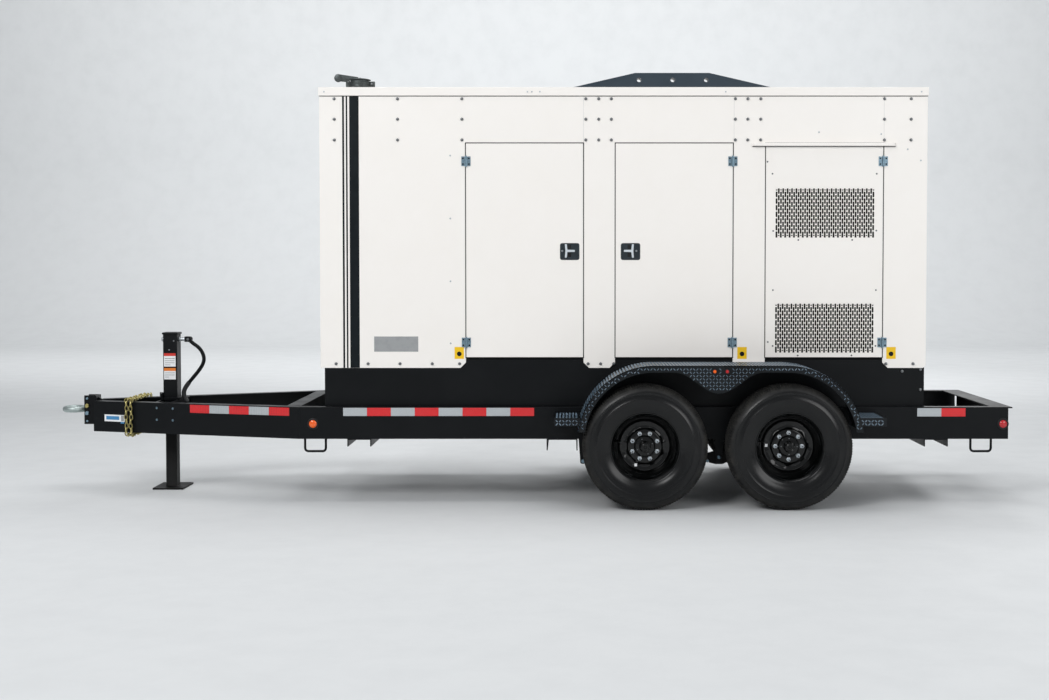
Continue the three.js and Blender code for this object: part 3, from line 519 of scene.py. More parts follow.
def make_wheels():
    """Tyres, dished wheels, brake drums, hubs, nuts on studs, a valve and a blank tag, the same on both sides."""
    for place, nut_turn in (("front", math.pi / 8), ("rear", 0.0)):
        centre = middle(f"wheel_{place}_left") * (1, 0, 1) + (0, -0.8225, 0)
        angles = np.pi / 2 + nut_turn + np.arange(8) * np.pi / 4
        on_circle = np.stack([np.cos(angles), np.zeros(8), np.sin(angles)], axis=1)
        nuts = repeated(outwards(NUT_SECTION, (0, -0.017, 0), 6), centre + 0.0825 * on_circle)
        thread = np.array([(0, 0.0285), (0.0042, 0.0285), (0.0042, 0.020), (0, 0.020)])
        studs = repeated(outwards(thread, (0, -0.017, 0), 12), centre + 0.0825 * on_circle)
        bolts = heads(centre + 0.049 * on_circle[::2] + (0, -0.0355, 0), (0, -1, 0), 0.004, 0.003, 6)
        stem = tube([centre + (-0.184, -0.010, 0.03), centre + (-0.170, -0.022, 0.028),
                     centre + (-0.152, -0.028, 0.025)], 0.0045, 10)
        cap = tube([centre + (-0.153, -0.0278, 0.025), centre + (-0.142, -0.031, 0.023)], 0.006, 10)
        tag_at = centre + ((-0.055, -0.0052, -0.118) if place == "front" else (-0.137, -0.0062, 0.004))
        tag = block(tag_at + (-0.008, -0.0012, -0.009), tag_at + (0.008, 0.003, 0.009))
        for side, sign in SIDES.items():
            body = f"wheel_{place}_{side}"
            piece(f"rim_{place}_{side}", body,
                  {WHEEL_GLOSS: [wheel(centre, nut_turn), outwards(HUB_SECTION, centre)],
                   GEAR: [outwards(DRUM_SECTION, centre, 96, closed=True), stem],
                   PULL_SILVER: [nuts], STAINLESS: [bolts], DARK_PLASTIC: [cap, studs], VINYL_WHITE: [tag]},
                  sharp=28, replaces=[f"wheel_{place}_{side}"], sign=sign)
            made = piece(f"tread_{place}_{side}", body, {TYRE: [tyre(centre)]}, sharp=50,
                         replaces=[f"tyre_{place}_{side}"], sign=sign)
            spots = np.array([v.co for v in made.data.vertices])
            reach = np.hypot(spots[:, 0] - centre[0], spots[:, 2] - centre[2])
            worn = made.data.attributes.new("worn", "FLOAT", "POINT")
            worn.data.foreach_set("value", np.clip((reach - 0.335) / 0.035, 0.06, 1) ** 1.5)


make_wheels()


# ---------- axles, springs and equalizers ----------
def u_bolt(x, y, z, half, low):
    """A bar bent over the axle: two straight legs joined by half a circle."""
    t = np.linspace(0, np.pi, 13)
    over = np.stack([x + half * np.cos(t), np.full(13, y), z + half * np.sin(t)], axis=1)
    return tube(np.concatenate([[(x + half, y, low)], over, [(x - half, y, low)]]), 0.005, 10)


def make_running_gear():
    """Tube axles with drops, spindles and U-bolts; the springs and equalizers keep their CAD shape."""
    for place in ("front", "rear"):
        centre = middle(f"wheel_{place}_left")
        x, z = centre[0], 0.285
        beam = turned([(0, -0.625), (0.038, -0.625), (0.038, 0.625), (0, 0.625)], (x, 0, z), "y", 40)
        shells, bolts = [beam], []
        for sign in (1, -1):
            drop = rounded([(x - 0.045, 0.247), (x + 0.045, 0.247), (x + 0.045, 0.425), (x - 0.045, 0.425)], 0.03,
                           closed=True)
            spindle = np.array([(0, -0.625), (0.03, -0.625), (0.03, -0.70), (0.024, -0.80), (0, -0.83)])
            plate = np.array([(0.03, -0.655), (0.145, -0.655), (0.15, -0.659), (0.15, -0.664), (0.03, -0.664)])
            shells += mirrored([slab(drop, "y", -0.64, -0.612), turned(spindle, (x, 0, 0.387), "y", 28),
                                turned(plate, (x, 0, 0.387), "y", 72, closed=True),
                                block((x - 0.04, -0.599, 0.236), (x + 0.04, -0.555, z - 0.02)),
                                block((x - 0.065, -0.612, 0.176), (x + 0.065, -0.542, 0.182))], sign)
            bolts += mirrored([u_bolt(x, -0.605, z, 0.0432, 0.168), u_bolt(x, -0.549, z, 0.0432, 0.168)], sign)
            feet = np.array([(x + dx, sign * y, 0.176) for dx in (-0.0432, 0.0432) for y in (-0.605, -0.549)])
            bolts.append(heads(feet, (0, 0, -1), 0.011, 0.009))
        piece(f"drop_axle_{place}", f"axle_{place}", {GEAR: shells, HINGE_ZINC: bolts}, soften=0.0015,
              replaces=[f"axle_{place}"])
        for side in SIDES:
            softened(f"leaf_spring_{place}_{side}", GEAR, 0.0012)
    for side, sign in SIDES.items():
        softened(f"equalizer_{side}", GEAR, 0.004)
        y = -0.577
        pins = [(1.262, 0.288)]
        hung = [(0.400, 0.262), (2.045, 0.262)]
        pivots = np.array([(px, y - 0.032, pz) for px, pz in pins + hung])
        backs = pivots + (0, 0.064, 0)
        piece(f"spring_pins_{side}", "chassis",
              {HINGE_ZINC: [heads(pivots, (0, -1, 0), 0.014, 0.011), heads(backs, (0, 1, 0), 0.012, 0.010)]},
              sign=sign)
        keepers = np.array([(1.19, y - 0.02, 0.262), (1.334, y - 0.02, 0.262)])
        piece(f"equalizer_keepers_{side}", f"equalizer_{side}",
              {HINGE_ZINC: [heads(keepers, (0, -1, 0), 0.011, 0.008)]}, sign=sign)


make_running_gear()


# ---------- frame ----------
RAIL = {"front": -1.403, "rear": 3.097, "half": 0.610, "bottom": 0.403, "top": 0.606, "flange": 0.066}
HANGERS = (0.400, 1.262, 2.045)
LOOPS = ((-1.377, -1.230), (2.856, 3.001))


def channel(web, thick):
    """A rolled channel's section in (y, z): heel outside, flanges inwards with a round root and a round toe."""
    half, low, high, reach = RAIL["half"], RAIL["bottom"], RAIL["top"], RAIL["flange"]
    t = np.linspace(0, np.pi / 2, 5)
    root = 0.010
    corner = np.stack([-half + web + root * (1 - np.sin(t)), low + thick + root * (1 - np.cos(t))], axis=1)
    toe = np.array([(-half + reach - 0.004, low), (-half + reach, low + 0.004), (-half + reach, low + thick - 0.002)])
    lower = np.concatenate([[(-half, low)], toe, corner])
    upper = lower[::-1] * (1, -1) + (0, low + high)
    return np.concatenate([lower, upper])


def make_frame():
    """Channel rails with loops and hangers, crossmembers and the rear plate; the tape and lamps on the rails come from
    make_markings.
    """
    for side, sign in SIDES.items():
        beam = slab(channel(0.007, 0.009), "x", RAIL["front"], RAIL["rear"])
        loops = [tube(rounded([(x0 + 0.0075, -0.59, 0.404), (x0 + 0.0075, -0.59, 0.3225), (x1 - 0.0075, -0.59, 0.3225),
                               (x1 - 0.0075, -0.59, 0.404)], 0.024, 8), 0.0075, 14) for x0, x1 in LOOPS]
        hangers = [slab(rounded([(x - 0.030, 0.404), (x - 0.018, 0.245), (x + 0.018, 0.245), (x + 0.030, 0.404)], 0.008,
                                3), "y", y - 0.004, y + 0.004) for x in HANGERS for y in (-0.605, -0.549)]
        piece(f"channel_rail_{side}", "chassis", {BLACK: [beam, *loops, *hangers]}, soften=0.0012,
              replaces=[f"frame_rail_{side}"], sign=sign)
    for node in ("crossmember_front", "crossmember_middle", "crossmember_rear", "rear_end_plate", "tongue",
                 "coupler_mount", "fuel_tank_base"):
        softened(node, BLACK, 0.0015)


make_frame()


def make_markings():
    """Marking tape, lamps and blank labels along the rails and the tongue, the same on both sides."""
    first, length, low, high = -1.208, 0.1515, 0.549, 0.601
    for side, sign in SIDES.items():
        strips = {TAPE_WHITE: [], TAPE_RED: []}
        for n in range(8):
            x0 = first + 0.0845 + n * length
            strips[(TAPE_WHITE, TAPE_RED)[n % 2]].append(block((x0, -0.6104, low),
                                                               (x0 + length - 0.0004, -0.6099, high)))
        for n, finish in enumerate((TAPE_WHITE, TAPE_RED)):
            x0 = 2.519 + 0.153 * n
            strips[finish].append(block((x0, -0.6104, 0.546), (x0 + 0.1526, -0.6099, 0.599)))
        piece(f"rail_tape_{side}", "chassis", strips, sign=sign)

        lamps = {AMBER: [], RED_LENS: [], SEAL: []}
        for x, finish in ((-1.315, AMBER), (3.063, RED_LENS)):
            at = (x, -0.610, 0.499)
            lens = [(0, 0.015), (0.010, 0.0145), (0.020, 0.0115), (0.0245, 0.007), (0.0245, 0), (0, 0)]
            grommet = [(0.024, 0.003), (0.026, 0.0075), (0.030, 0.0085), (0.035, 0.006), (0.037, 0), (0.024, 0)]
            lamps[finish].append(outwards(np.array(lens), at, 32))
            lamps[SEAL].append(outwards(np.array(grommet), at, 40, closed=True))
        piece(f"marker_lamps_{side}", "chassis", lamps, sign=sign)

        # the tongue's rail: places along it are measured from the frame, down its slope and in towards the head
        run = np.array([-1.480, 0.510, 0])
        run = run / np.linalg.norm(run)
        droop = np.array([0, 0, -0.0081 * 0.9455])
        out = np.array([-run[1], run[0], 0])
        strips = {TAPE_RED: [], TAPE_WHITE: []}
        for n in range(5):
            a, b = (np.array([-1.403, -0.610, 0.6]) + run * s + droop * s for s in (0.072 + 0.1475 * n,
                                                                                   0.072 + 0.1475 * (n + 1) - 0.0006))
            face = [a + (0, 0, -0.052), b + (0, 0, -0.052), b + (0, 0, 0.0), a + (0, 0, 0.0)]
            corners = np.array([p + out * d for d in (0.0007, -0.0003) for p in face])
            quads = [[0, 1, 2, 3], [7, 6, 5, 4], [0, 4, 5, 1], [1, 5, 6, 2], [2, 6, 7, 3], [3, 7, 4, 0]]
            strips[(TAPE_RED, TAPE_WHITE)[n % 2]].append((corners, quads))
        piece(f"tongue_tape_{side}", "chassis", strips, sign=sign)
        plates = {VINYL_WHITE: [], VINYL_BLUE: [], VINYL_SILVER: []}
        for finish, s0, s1, low, high in (
                (VINYL_WHITE, 1.318, 1.478, 0.462, 0.508), (VINYL_BLUE, 1.362, 1.464, 0.474, 0.498),
                (VINYL_SILVER, 1.324, 1.346, 0.466, 0.504), (VINYL_BLUE, 1.322, 1.350, 0.451, 0.461)):
            lift = 0.0006 + 0.0003 * (finish is not VINYL_WHITE)
            ends = [np.array([-1.403, -0.610, 0]) + run * s0, np.array([-1.403, -0.610, 0]) + run * s1]
            face = [ends[0] + (0, 0, low), ends[1] + (0, 0, low), ends[1] + (0, 0, high), ends[0] + (0, 0, high)]
            plates[finish].append((np.array([p + out * d for d in (lift, -0.0003) for p in face]), quads))
        piece(f"tongue_label_{side}", "chassis", plates, sign=sign)


make_markings()


# ---------- tongue: coupler, eye, jack and chains ----------
def smooth_path(points, steps=8):
    """A curve through every point: between two of them the Catmull-Rom cubic of them and their neighbours."""
    p = np.array(points, float)
    p = np.concatenate([[2 * p[0] - p[1]], p, [2 * p[-1] - p[-2]]])
    t = (np.arange(steps) / steps)[None, :, None]
    a, b, c, d = (p[i:len(p) - 3 + i, None] for i in range(4))
    curve = 0.5 * (2 * b + (c - a) * t + (2 * a - 5 * b + 4 * c - d) * t ** 2 + (3 * b - a - 3 * c + d) * t ** 3)
    return np.concatenate([curve.reshape(-1, 3), p[-2:-1]])


def make_tongue_end():
    """The towing eye as a ring of round section with its shank and root, and the bolts on the coupler plate and the
    tongue's rails.
    """
    eye = middle("towing_eye")
    x, z = -3.0435, 0.532
    t = np.linspace(0, 2 * np.pi, 28, endpoint=False)
    ring = np.stack([0.059 + 0.0205 * np.cos(t), 0.0205 * np.sin(t)], axis=1)
    loop = turned(ring, (x, eye[1], z), "z", 72, closed=True)
    shank = turned([(0, 0.062), (0.019, 0.064), (0.0185, 0.078), (0.024, 0.092), (0.024, 0.120), (0, 0.120)],
                   (x, 0, z), "x", 32)
    root = block((-2.958, -0.0415, 0.485), (-2.8915, 0.0415, 0.580))
    piece("pintle_eye", "chassis", {FORGED_ZINC: [loop, shank, root]}, soften=0.002, replaces=["towing_eye"])

    bolts = {GOLD_ZINC: [], HINGE_ZINC: []}
    for sign in (1, -1):
        near = lambda zs: np.array([(-2.944, -0.050, h) for h in zs])
        bolts[GOLD_ZINC] += mirrored([heads(near([0.557]), (0, -1, 0), 0.0160, 0.012),
                                      outwards(np.array([(0.007, 0.011), (0.007, 0.018), (0, 0.018)]),
                                               (-2.944, -0.050, 0.557), 12)], sign)
        bolts[HINGE_ZINC] += mirrored([heads(near([0.507]), (0, -1, 0), 0.0160, 0.012)], sign)
        bolts[HINGE_ZINC] += mirrored([heads(near([0.606, 0.454]), (0, -1, 0), 0.0085, 0.005)], sign)
        for x in (-2.409, -2.292):
            out = -0.610 - 0.3446 * (x + 1.403)
            bolts[HINGE_ZINC] += mirrored([heads([(x, out, h) for h in (0.564, 0.487)], (-0.326, -0.945, 0), 0.008,
                                                 0.006)], sign)
    piece("coupler_bolts", "chassis", bolts)


def make_jack():
    """The tube with its cap and blank labels, the crank's clevis, and its bar as a round section on a smooth path."""
    softened("jack_tube", BLACK, 0.002)
    softened("jack_leg", GEAR, 0.002)
    x, z = -2.382, 1.005
    cap = [rectangle(x - half, x + half, -half, half, 0.006) for half in (0.0535, 0.0535, 0.049)]
    levels = (1.0395, 1.0485, 1.0525)
    rings = np.array([np.column_stack([ring, np.full(len(ring), level)]) for ring, level in zip(cap, levels)])
    points, faces = patch(rings)
    faces += [list(range(rings.shape[1]))[::-1], list(range(2 * rings.shape[1], 3 * rings.shape[1]))]
    collar = block((x - 0.058, -0.058, 0.598), (x + 0.058, 0.058, 0.612))
    piece("jack_cap", "chassis", {BLACK: [(points, faces), collar]}, soften=0.001)

    shaft = [turned([(0, -0.052), (0.009, -0.052), (0.012, -0.049), (0.012, 0.097), (0, 0.097)], (x, 0, z), "x", 28),
             turned([(0, -0.067), (0.014, -0.067), (0.016, -0.064), (0.016, -0.052), (0, -0.052)], (x, 0, z), "x", 28),
             turned([(0, 0.049), (0.016, 0.049), (0.016, 0.056), (0, 0.056)], (x, 0, z), "x", 28)]
    yoke = [block((-2.292, -0.021, z - 0.018), (-2.285, 0.021, z + 0.018))]
    for low, high in ((-0.021, -0.0128), (0.0128, 0.021)):
        ear = np.concatenate([[(-2.287, z + 0.018), (-2.287, z - 0.018)],
                              [(-2.264 + 0.018 * math.sin(a), z - 0.018 * math.cos(a))
                               for a in np.linspace(0, np.pi, 9)]])
        yoke.append(slab(ear, "y", low, high))
    pin = [turned([(0, -0.026), (0.009, -0.026), (0.009, -0.0208), (0.006, -0.0208), (0.006, 0.0208), (0.009, 0.0208),
                   (0.009, 0.025), (0, 0.025)], (-2.268, 0, z), "y", 20)]
    piece("crank_clevis", "crank_shaft", {ZINC: shaft, BLACK: yoke, STAINLESS: pin}, soften=0.0008,
          replaces=["crank_shaft"])

    route = [(-2.258, 0.993), (-2.235, 0.974), (-2.200, 0.947), (-2.176, 0.912), (-2.166, 0.872), (-2.176, 0.832),
             (-2.203, 0.790), (-2.237, 0.748), (-2.272, 0.706), (-2.297, 0.668), (-2.304, 0.635), (-2.296, 0.603),
             (-2.281, 0.576)]
    bar = smooth_path([(px, 0, pz) for px, pz in route], 6)
    lug = turned([(0, -0.0085), (0.014, -0.0085), (0.0155, -0.006), (0.0155, 0.006), (0.014, 0.0085), (0, 0.0085)],
                 (-2.268, 0, z), "y", 28)
    grip = tube(bar[-26:-1], 0.0152, 20)
    piece("crank_bar", "crank_handle", {BLACK: [tube(bar, 0.0125, 20), lug], DARK_PLASTIC: [grip]},
          soften=0.0008, replaces=["crank_handle"])

    labels = {  # finish: (low x, high x, low z, high z), each a blank plate
        VINYL_WHITE: [(-2.424, -2.345, 0.822, 0.893), (-2.424, -2.345, 0.735, 0.792)],
        VINYL_RED: [(-2.424, -2.345, 0.893, 0.912)],
        VINYL_ORANGE: [(-2.424, -2.345, 0.792, 0.812)],
        LATCH_BLACK: [(-2.418, -2.352, 0.874, 0.877), (-2.418, -2.352, 0.860, 0.8625), (-2.418, -2.352, 0.846, 0.8485),
                      (-2.418, -2.380, 0.832, 0.8345), (-2.418, -2.352, 0.778, 0.7805), (-2.418, -2.352, 0.764, 0.7665),
                      (-2.418, -2.390, 0.750, 0.7525)]}
    rivets = heads([(-2.357, -0.046, 0.995), (-2.388, -0.046, 0.934)], (0, -1, 0), 0.006, 0.003, 16)
    sheets = {finish: [block((x0, -0.0465 - 0.0003 * (finish is LATCH_BLACK), z0), (x1, -0.0458, z1))
                       for x0, x1, z0, z1 in plates] for finish, plates in labels.items()}
    ears = [block((-2.452, -0.052, 0.606), (-2.4295, -0.040, 0.648))]
    nuts = heads([(-2.441, -0.052, 0.638), (-2.441, -0.052, 0.618)], (0, -1, 0), 0.008, 0.007)
    knob = turned([(0, -0.064), (0.010, -0.064), (0.012, -0.060), (0.010, -0.050), (0, -0.050)], (x, 0, z), "x", 20)
    piece("jack_labels_and_rivets", "chassis", {**sheets, STAINLESS: [rivets, nuts], BLACK: [*ears, knob]})


def make_chains():
    """Oval links along the wrapped path, each a bar round a stadium curve, every other one turned a quarter turn."""
    a = np.linspace(0, 2 * np.pi, 12, endpoint=False)
    oval = np.stack([0.0125 * np.sign(np.cos(a)) * 0.55 + 0.0095 * np.cos(a), 0.0095 * np.sin(a) * 1.05,
                     np.zeros(12)], axis=1)
    link = tube(oval, 0.0042, 6, closed=True)
    for side, x in (("left", -2.629), ("right", -2.595)):
        wide = 0.610 + 0.3446 * (x - -1.403) + 0.020
        low, high = 0.3765, 0.6125
        loop = rounded([(-wide, low), (wide, low), (wide, high), (-wide, high)], 0.02, 6, closed=True)
        loop = np.concatenate([loop, loop[:1]])
        gone = np.concatenate([[0], np.cumsum(np.linalg.norm(np.diff(loop, axis=0), axis=1))])
        count = 2 * round(gone[-1] / 0.0285 / 2)
        at = (np.arange(count) + 0.5) * gone[-1] / count
        y, z = np.interp(at, gone, loop[:, 0]), np.interp(at, gone, loop[:, 1])
        ahead_y = np.interp((at + 0.005) % gone[-1], gone, loop[:, 0]) - y
        ahead_z = np.interp((at + 0.005) % gone[-1], gone, loop[:, 1]) - z
        along = np.stack([np.zeros(count), ahead_y, ahead_z], axis=1)
        along /= np.linalg.norm(along, axis=1)[:, None]
        across = np.tile([1.0, 0, 0], (count, 1))
        square = np.cross(along, across)
        odd = (np.arange(count) % 2 == 1)[:, None]
        turns = np.stack([along, np.where(odd, square, across), np.where(odd, -across, square)], axis=2)
        sway = 0.003 * np.sin(np.arange(count) * 1.7)
        piece(f"chain_links_{side}", "chassis",
              {GOLD_ZINC: [repeated(link, np.stack([x + sway, y, z], axis=1), turns)]}, sharp=60,
              replaces=[f"safety_chain_{side}"])


make_tongue_end()
make_jack()
make_chains()


# ---------- fenders ----------
FENDER = {"front": 0.830, "rear": 1.643, "z": 0.424, "r": 0.469, "band": 0.042, "end": 0.485, "out": 0.950,
          "dip": 0.722, "sheet": 0.004}
STEP_TOP, STEP_LOW, STEP_OUT, STEP_LONG = 0.571, 0.520, 0.930, 0.160
LUG_PITCH = 0.020


def fender_curve(radius, steps):
    """From the rear tip over both wheels to the front tip: a quarter turn, a straight run and a quarter turn."""
    lowest = math.asin((FENDER["end"] - FENDER["z"]) / radius)
    turn = np.linspace(lowest, np.pi / 2, steps)
    behind = np.stack([FENDER["rear"] + radius * np.cos(turn), FENDER["z"] + radius * np.sin(turn)], axis=1)
    ahead = behind[::-1] * (-1, 1) + (FENDER["front"] + FENDER["rear"], 0)
    flat = np.stack([np.linspace(FENDER["rear"], FENDER["front"], steps)[1:-1],
                     np.full(steps - 2, FENDER["z"] + radius)], axis=1)
    return np.concatenate([behind, flat, ahead])


def skirt_low(x):
    """The skirt's lower edge over the wheels: a band under the curve, with a squared-cosine drop between them."""
    inner = FENDER["r"] - FENDER["band"]
    d = np.clip((x - 1.2255) / 0.540, -0.5, 0.5)
    arch = FENDER["z"] + np.sqrt(np.clip(inner ** 2 - np.clip(np.maximum(FENDER["front"] - x, x - FENDER["rear"]),
                                                             0, None) ** 2, 0, None))
    return np.minimum(arch, FENDER["z"] + inner - (FENDER["z"] + inner - FENDER["dip"]) * np.cos(np.pi * d) ** 2)


def lug(length=0.020, width=0.0066, height=0.0018):
    """A low lens: an eight-sided oval foot and a short ridge along its middle."""
    a = np.arange(8) * np.pi / 4
    foot = np.stack([length / 2 * np.cos(a), width / 2 * np.sin(a), np.full(8, -0.0006)], axis=1)
    ridge = np.array([(-length * 0.22, 0, height), (length * 0.22, 0, height)])
    faces = [[0, 1, 9], [1, 2, 9], [2, 8, 9], [2, 3, 8], [3, 4, 8], [4, 5, 8], [5, 6, 8], [6, 9, 8], [6, 7, 9],
             [7, 0, 9], [7, 6, 5, 4, 3, 2, 1, 0]]
    return np.concatenate([foot, ridge]), faces


def checker(u, v, pitch):
    """Places on a square lattice, and which of them are odd, as the squares of a chequer board alternate."""
    us, vs = np.meshgrid(np.arange(u[0], u[1], pitch), np.arange(v[0], v[1], pitch), indexing="ij")
    return us.ravel(), vs.ravel(), (np.indices(us.shape).sum(axis=0) % 2).ravel()


def make_fenders():
    """A rolled cover and skirt of chequer plate, with lugs stood on both, two steps and two lamps."""
    over = fender_curve(FENDER["r"], 26)
    under = fender_curve(FENDER["r"] - FENDER["sheet"], 26)
    cover = slab(np.concatenate([over, under[::-1]]), "y", -FENDER["out"], -0.6103)
    # the skirt: columns of two points, on the curve and on the lower edge, given a thickness
    foot = fender_curve(FENDER["r"] - FENDER["band"], 26)
    foot[:, 1] = np.where((over[:, 0] > 0.96) & (over[:, 0] < 1.49), skirt_low(over[:, 0]), foot[:, 1])
    foot[:, 0] = np.where((over[:, 0] > FENDER["front"]) & (over[:, 0] < FENDER["rear"]), over[:, 0], foot[:, 0])
    sheet = np.stack([np.column_stack([edge[:, 0], np.full(len(edge), y), edge[:, 1]])
                      for y, edge in ((-0.950, over), (-0.950, foot), (-0.946, foot), (-0.946, over))], axis=1)
    skirt_points, skirt_faces = patch(sheet)
    skirt_faces += [[0, 1, 2, 3], [len(skirt_points) - k for k in (1, 2, 3, 4)]]

    outer = fender_curve(FENDER["r"], 200)
    gone = np.concatenate([[0], np.cumsum(np.linalg.norm(np.diff(outer, axis=0), axis=1))])
    s, y, odd = checker((0.016, gone[-1]), (-0.938, -0.622), LUG_PITCH)
    at = np.stack([np.interp(s, gone, outer[:, 0]), y, np.interp(s, gone, outer[:, 1])], axis=1)
    ahead = np.stack([np.interp(s + 0.004, gone, outer[:, 0]), y,
                      np.interp(s + 0.004, gone, outer[:, 1])], axis=1) - at
    ahead[np.linalg.norm(ahead, axis=1) < 1e-6] = (-1, 0, 0)
    ahead_n = ahead / np.linalg.norm(ahead, axis=1)[:, None]
    normal = np.stack([-ahead_n[:, 2], np.zeros(len(s)), ahead_n[:, 0]], axis=1)
    normal *= np.where(normal[:, 2:] < 0, -1, 1)
    top = []
    for parity in (0, 1):
        pick = np.flatnonzero(odd == parity)
        beside = np.cross(normal[pick], ahead_n[pick])
        one = (ahead_n[pick] + (1 - 2 * parity) * beside) / math.sqrt(2)
        top.append(repeated(lug(), at[pick], np.stack([one, np.cross(normal[pick], one), normal[pick]], axis=2)))

    x, z, odd = checker((0.352, 2.12), (0.49, 0.89), LUG_PITCH)
    hollow = np.maximum(FENDER["front"] - x, x - FENDER["rear"]).clip(0)
    reach = np.hypot(hollow, z - FENDER["z"])
    inside = (reach < FENDER["r"] - 0.009) & (z > FENDER["end"] + 0.01)
    inside &= np.where((x > 0.96) & (x < 1.49), z > skirt_low(x) + 0.009, reach > FENDER["r"] - FENDER["band"] + 0.009)
    inside &= (np.abs(x - 1.198) > 0.020) | (np.abs(z - 0.857) > 0.018)
    inside &= (np.abs(x - 1.274) > 0.022) | (np.abs(z - 0.857) > 0.018)
    face = []
    for parity in (0, 1):
        pick = inside & (odd == parity)
        at = np.stack([x[pick], np.full(pick.sum(), -0.950), z[pick]], axis=1)
        one = np.tile([1.0, 0, 1.0 - 2 * parity], (len(at), 1)) / math.sqrt(2)
        normal = np.tile([0.0, -1, 0], (len(at), 1))
        face.append(repeated(lug(), at, np.stack([one, np.cross(normal, one), normal], axis=2)))

    steps, treads = [], []
    for x0, x1, end in ((FENDER["front"] - FENDER["r"] + 0.020 - STEP_LONG, FENDER["front"] - FENDER["r"] + 0.020, -1),
                        (FENDER["rear"] + FENDER["r"] - 0.020, FENDER["rear"] + FENDER["r"] - 0.020 + STEP_LONG, 1)):
        tip = x0 if end < 0 else x1
        steps += [block((x0, -STEP_OUT, STEP_TOP - 0.004), (x1, -0.6103, STEP_TOP)),
                  block((x0, -STEP_OUT, STEP_LOW), (x1, -STEP_OUT + 0.004, STEP_TOP)),
                  block((tip - end * 0.004, -STEP_OUT, STEP_LOW), (tip, -0.6103, STEP_TOP))]
        for parity in (0, 1):
            u, v, odd = checker((x0 + 0.014, x1 - 0.01), (-STEP_OUT + 0.012, -0.62), LUG_PITCH)
            pick = odd == parity
            one = np.tile([1.0, 1.0 - 2 * parity, 0], (pick.sum(), 1)) / math.sqrt(2)
            up = np.tile([0.0, 0, 1], (pick.sum(), 1))
            treads.append(repeated(lug(), np.stack([u[pick], v[pick], np.full(pick.sum(), STEP_TOP)], axis=1),
                                   np.stack([one, np.cross(up, one), up], axis=2)))
            u, v, odd = checker((x0 + 0.014, x1 - 0.01), (STEP_LOW + 0.012, STEP_TOP - 0.006), LUG_PITCH)
            pick = odd == parity
            one = np.tile([1.0, 0, 1.0 - 2 * parity], (pick.sum(), 1)) / math.sqrt(2)
            near = np.tile([0.0, -1, 0], (pick.sum(), 1))
            treads.append(repeated(lug(), np.stack([u[pick], np.full(pick.sum(), -STEP_OUT), v[pick]], axis=1),
                                   np.stack([one, np.cross(near, one), near], axis=2)))
    lamps = {finish: [outwards(np.array([(0, 0.012), (0.006, 0.0112), (0.0095, 0.008), (0.0105, 0.003), (0.0105, 0),
                                         (0, 0)]), (px, -0.950, 0.857), 24)]
             for px, finish in ((1.198, AMBER), (1.274, RED_LENS))}
    rims = [outwards(np.array([(0.010, 0.002), (0.0125, 0.005), (0.0145, 0.003), (0.015, 0), (0.010, 0)]),
                     (px, -0.950, 0.857), 28, closed=True) for px in (1.198, 1.274)]
    for side, sign in SIDES.items():
        piece(f"fender_sheet_{side}", "chassis", {TREAD: [cover, (skirt_points, skirt_faces), *steps]},
              soften=0.0012, replaces=[f"fender_{side}"], sign=sign)
        # the lugs' paler finish is a painted highlight for the light they catch
        piece(f"fender_lugs_{side}", "chassis", {LUG_PAINTED_HIGHLIGHT: top + face + treads}, sharp=60, sign=sign)
        piece(f"fender_lamps_{side}", "chassis", {**lamps, SEAL: rims}, sign=sign)


make_fenders()


# ---------- canopy ----------
SIDE, FRONT, REAR = -0.550, -1.276, 2.586
DOORS = {"front": (-0.345, 0.399, -0.345), "middle": (0.606, 1.350, 1.350), "rear": (1.561, 2.305, 2.305)}
DOOR_LOW, DOOR_HIGH = 0.919, 2.278
GRILLES = ((0.948, 1.264), (1.681, 1.997))
RING = np.array([[True, True, True], [True, False, True], [True, True, True]])
HINGE_LOWS = (0.978, 2.130)


def pierced(us, vs, solid, y0, y1):
    """A sheet on the grid lines us by vs: only the cells marked solid are there, with walls where one is missing."""
    u, v = np.meshgrid(us, vs, indexing="ij")
    points = np.concatenate([np.stack([u, np.full(u.shape, y), v], axis=-1).reshape(-1, 3) for y in (y0, y1)])
    rows, far, faces = len(vs), u.size, []
    for i, j in np.argwhere(solid):
        a, b, c, d = i * rows + j, (i + 1) * rows + j, (i + 1) * rows + j + 1, i * rows + j + 1
        faces += [[a, b, c, d], [a + far, d + far, c + far, b + far]]
        for (p, q), (m, n) in (((a, b), (i, j - 1)), ((b, c), (i + 1, j)), ((c, d), (i, j + 1)), ((d, a), (i - 1, j))):
            open_here = not (0 <= m < solid.shape[0] and 0 <= n < solid.shape[1]) or not solid[m, n]
            if open_here:
                faces.append([p, q, q + far, p + far])
    return points, faces


def perforations(x0, x1, z0, z1, y0, y1, columns=45, rows=7):
    """Slots with round ends, every other column half a pitch higher: upright webs, and a bridge between two slots."""
    pitch, rise = (x1 - x0) / columns, (z1 - z0) / (rows + 0.5)
    half, bridge = pitch * 0.415, rise * 0.068
    webs = [block((x0 + pitch * n - (pitch / 2 - half), y0, z0), (x0 + pitch * n + (pitch / 2 - half), y1, z1))
            for n in range(columns + 1)]
    t = np.linspace(np.pi, 0, 7)
    upper = np.stack([half * np.cos(t), bridge + half * (1 - np.sin(t))], axis=1)
    web = slab(np.concatenate([upper[::-1], upper * (1, -1)]), "y", y0, y1)
    places = [(x0 + pitch * (c + 0.5), 0, z0 + rise * (r + 0.5 * (c % 2))) for c in range(columns)
              for r in range(1 - c % 2, rows + 1)]
    ends = [block((x0 + pitch * c, y0, z), (x0 + pitch * (c + 1), y1, z + 0.25 * rise)) for c in range(columns)
            for z in ((z0,) if c % 2 else (z1 - 0.25 * rise,))]
    return [*webs, repeated(web, np.array(places)), *ends]


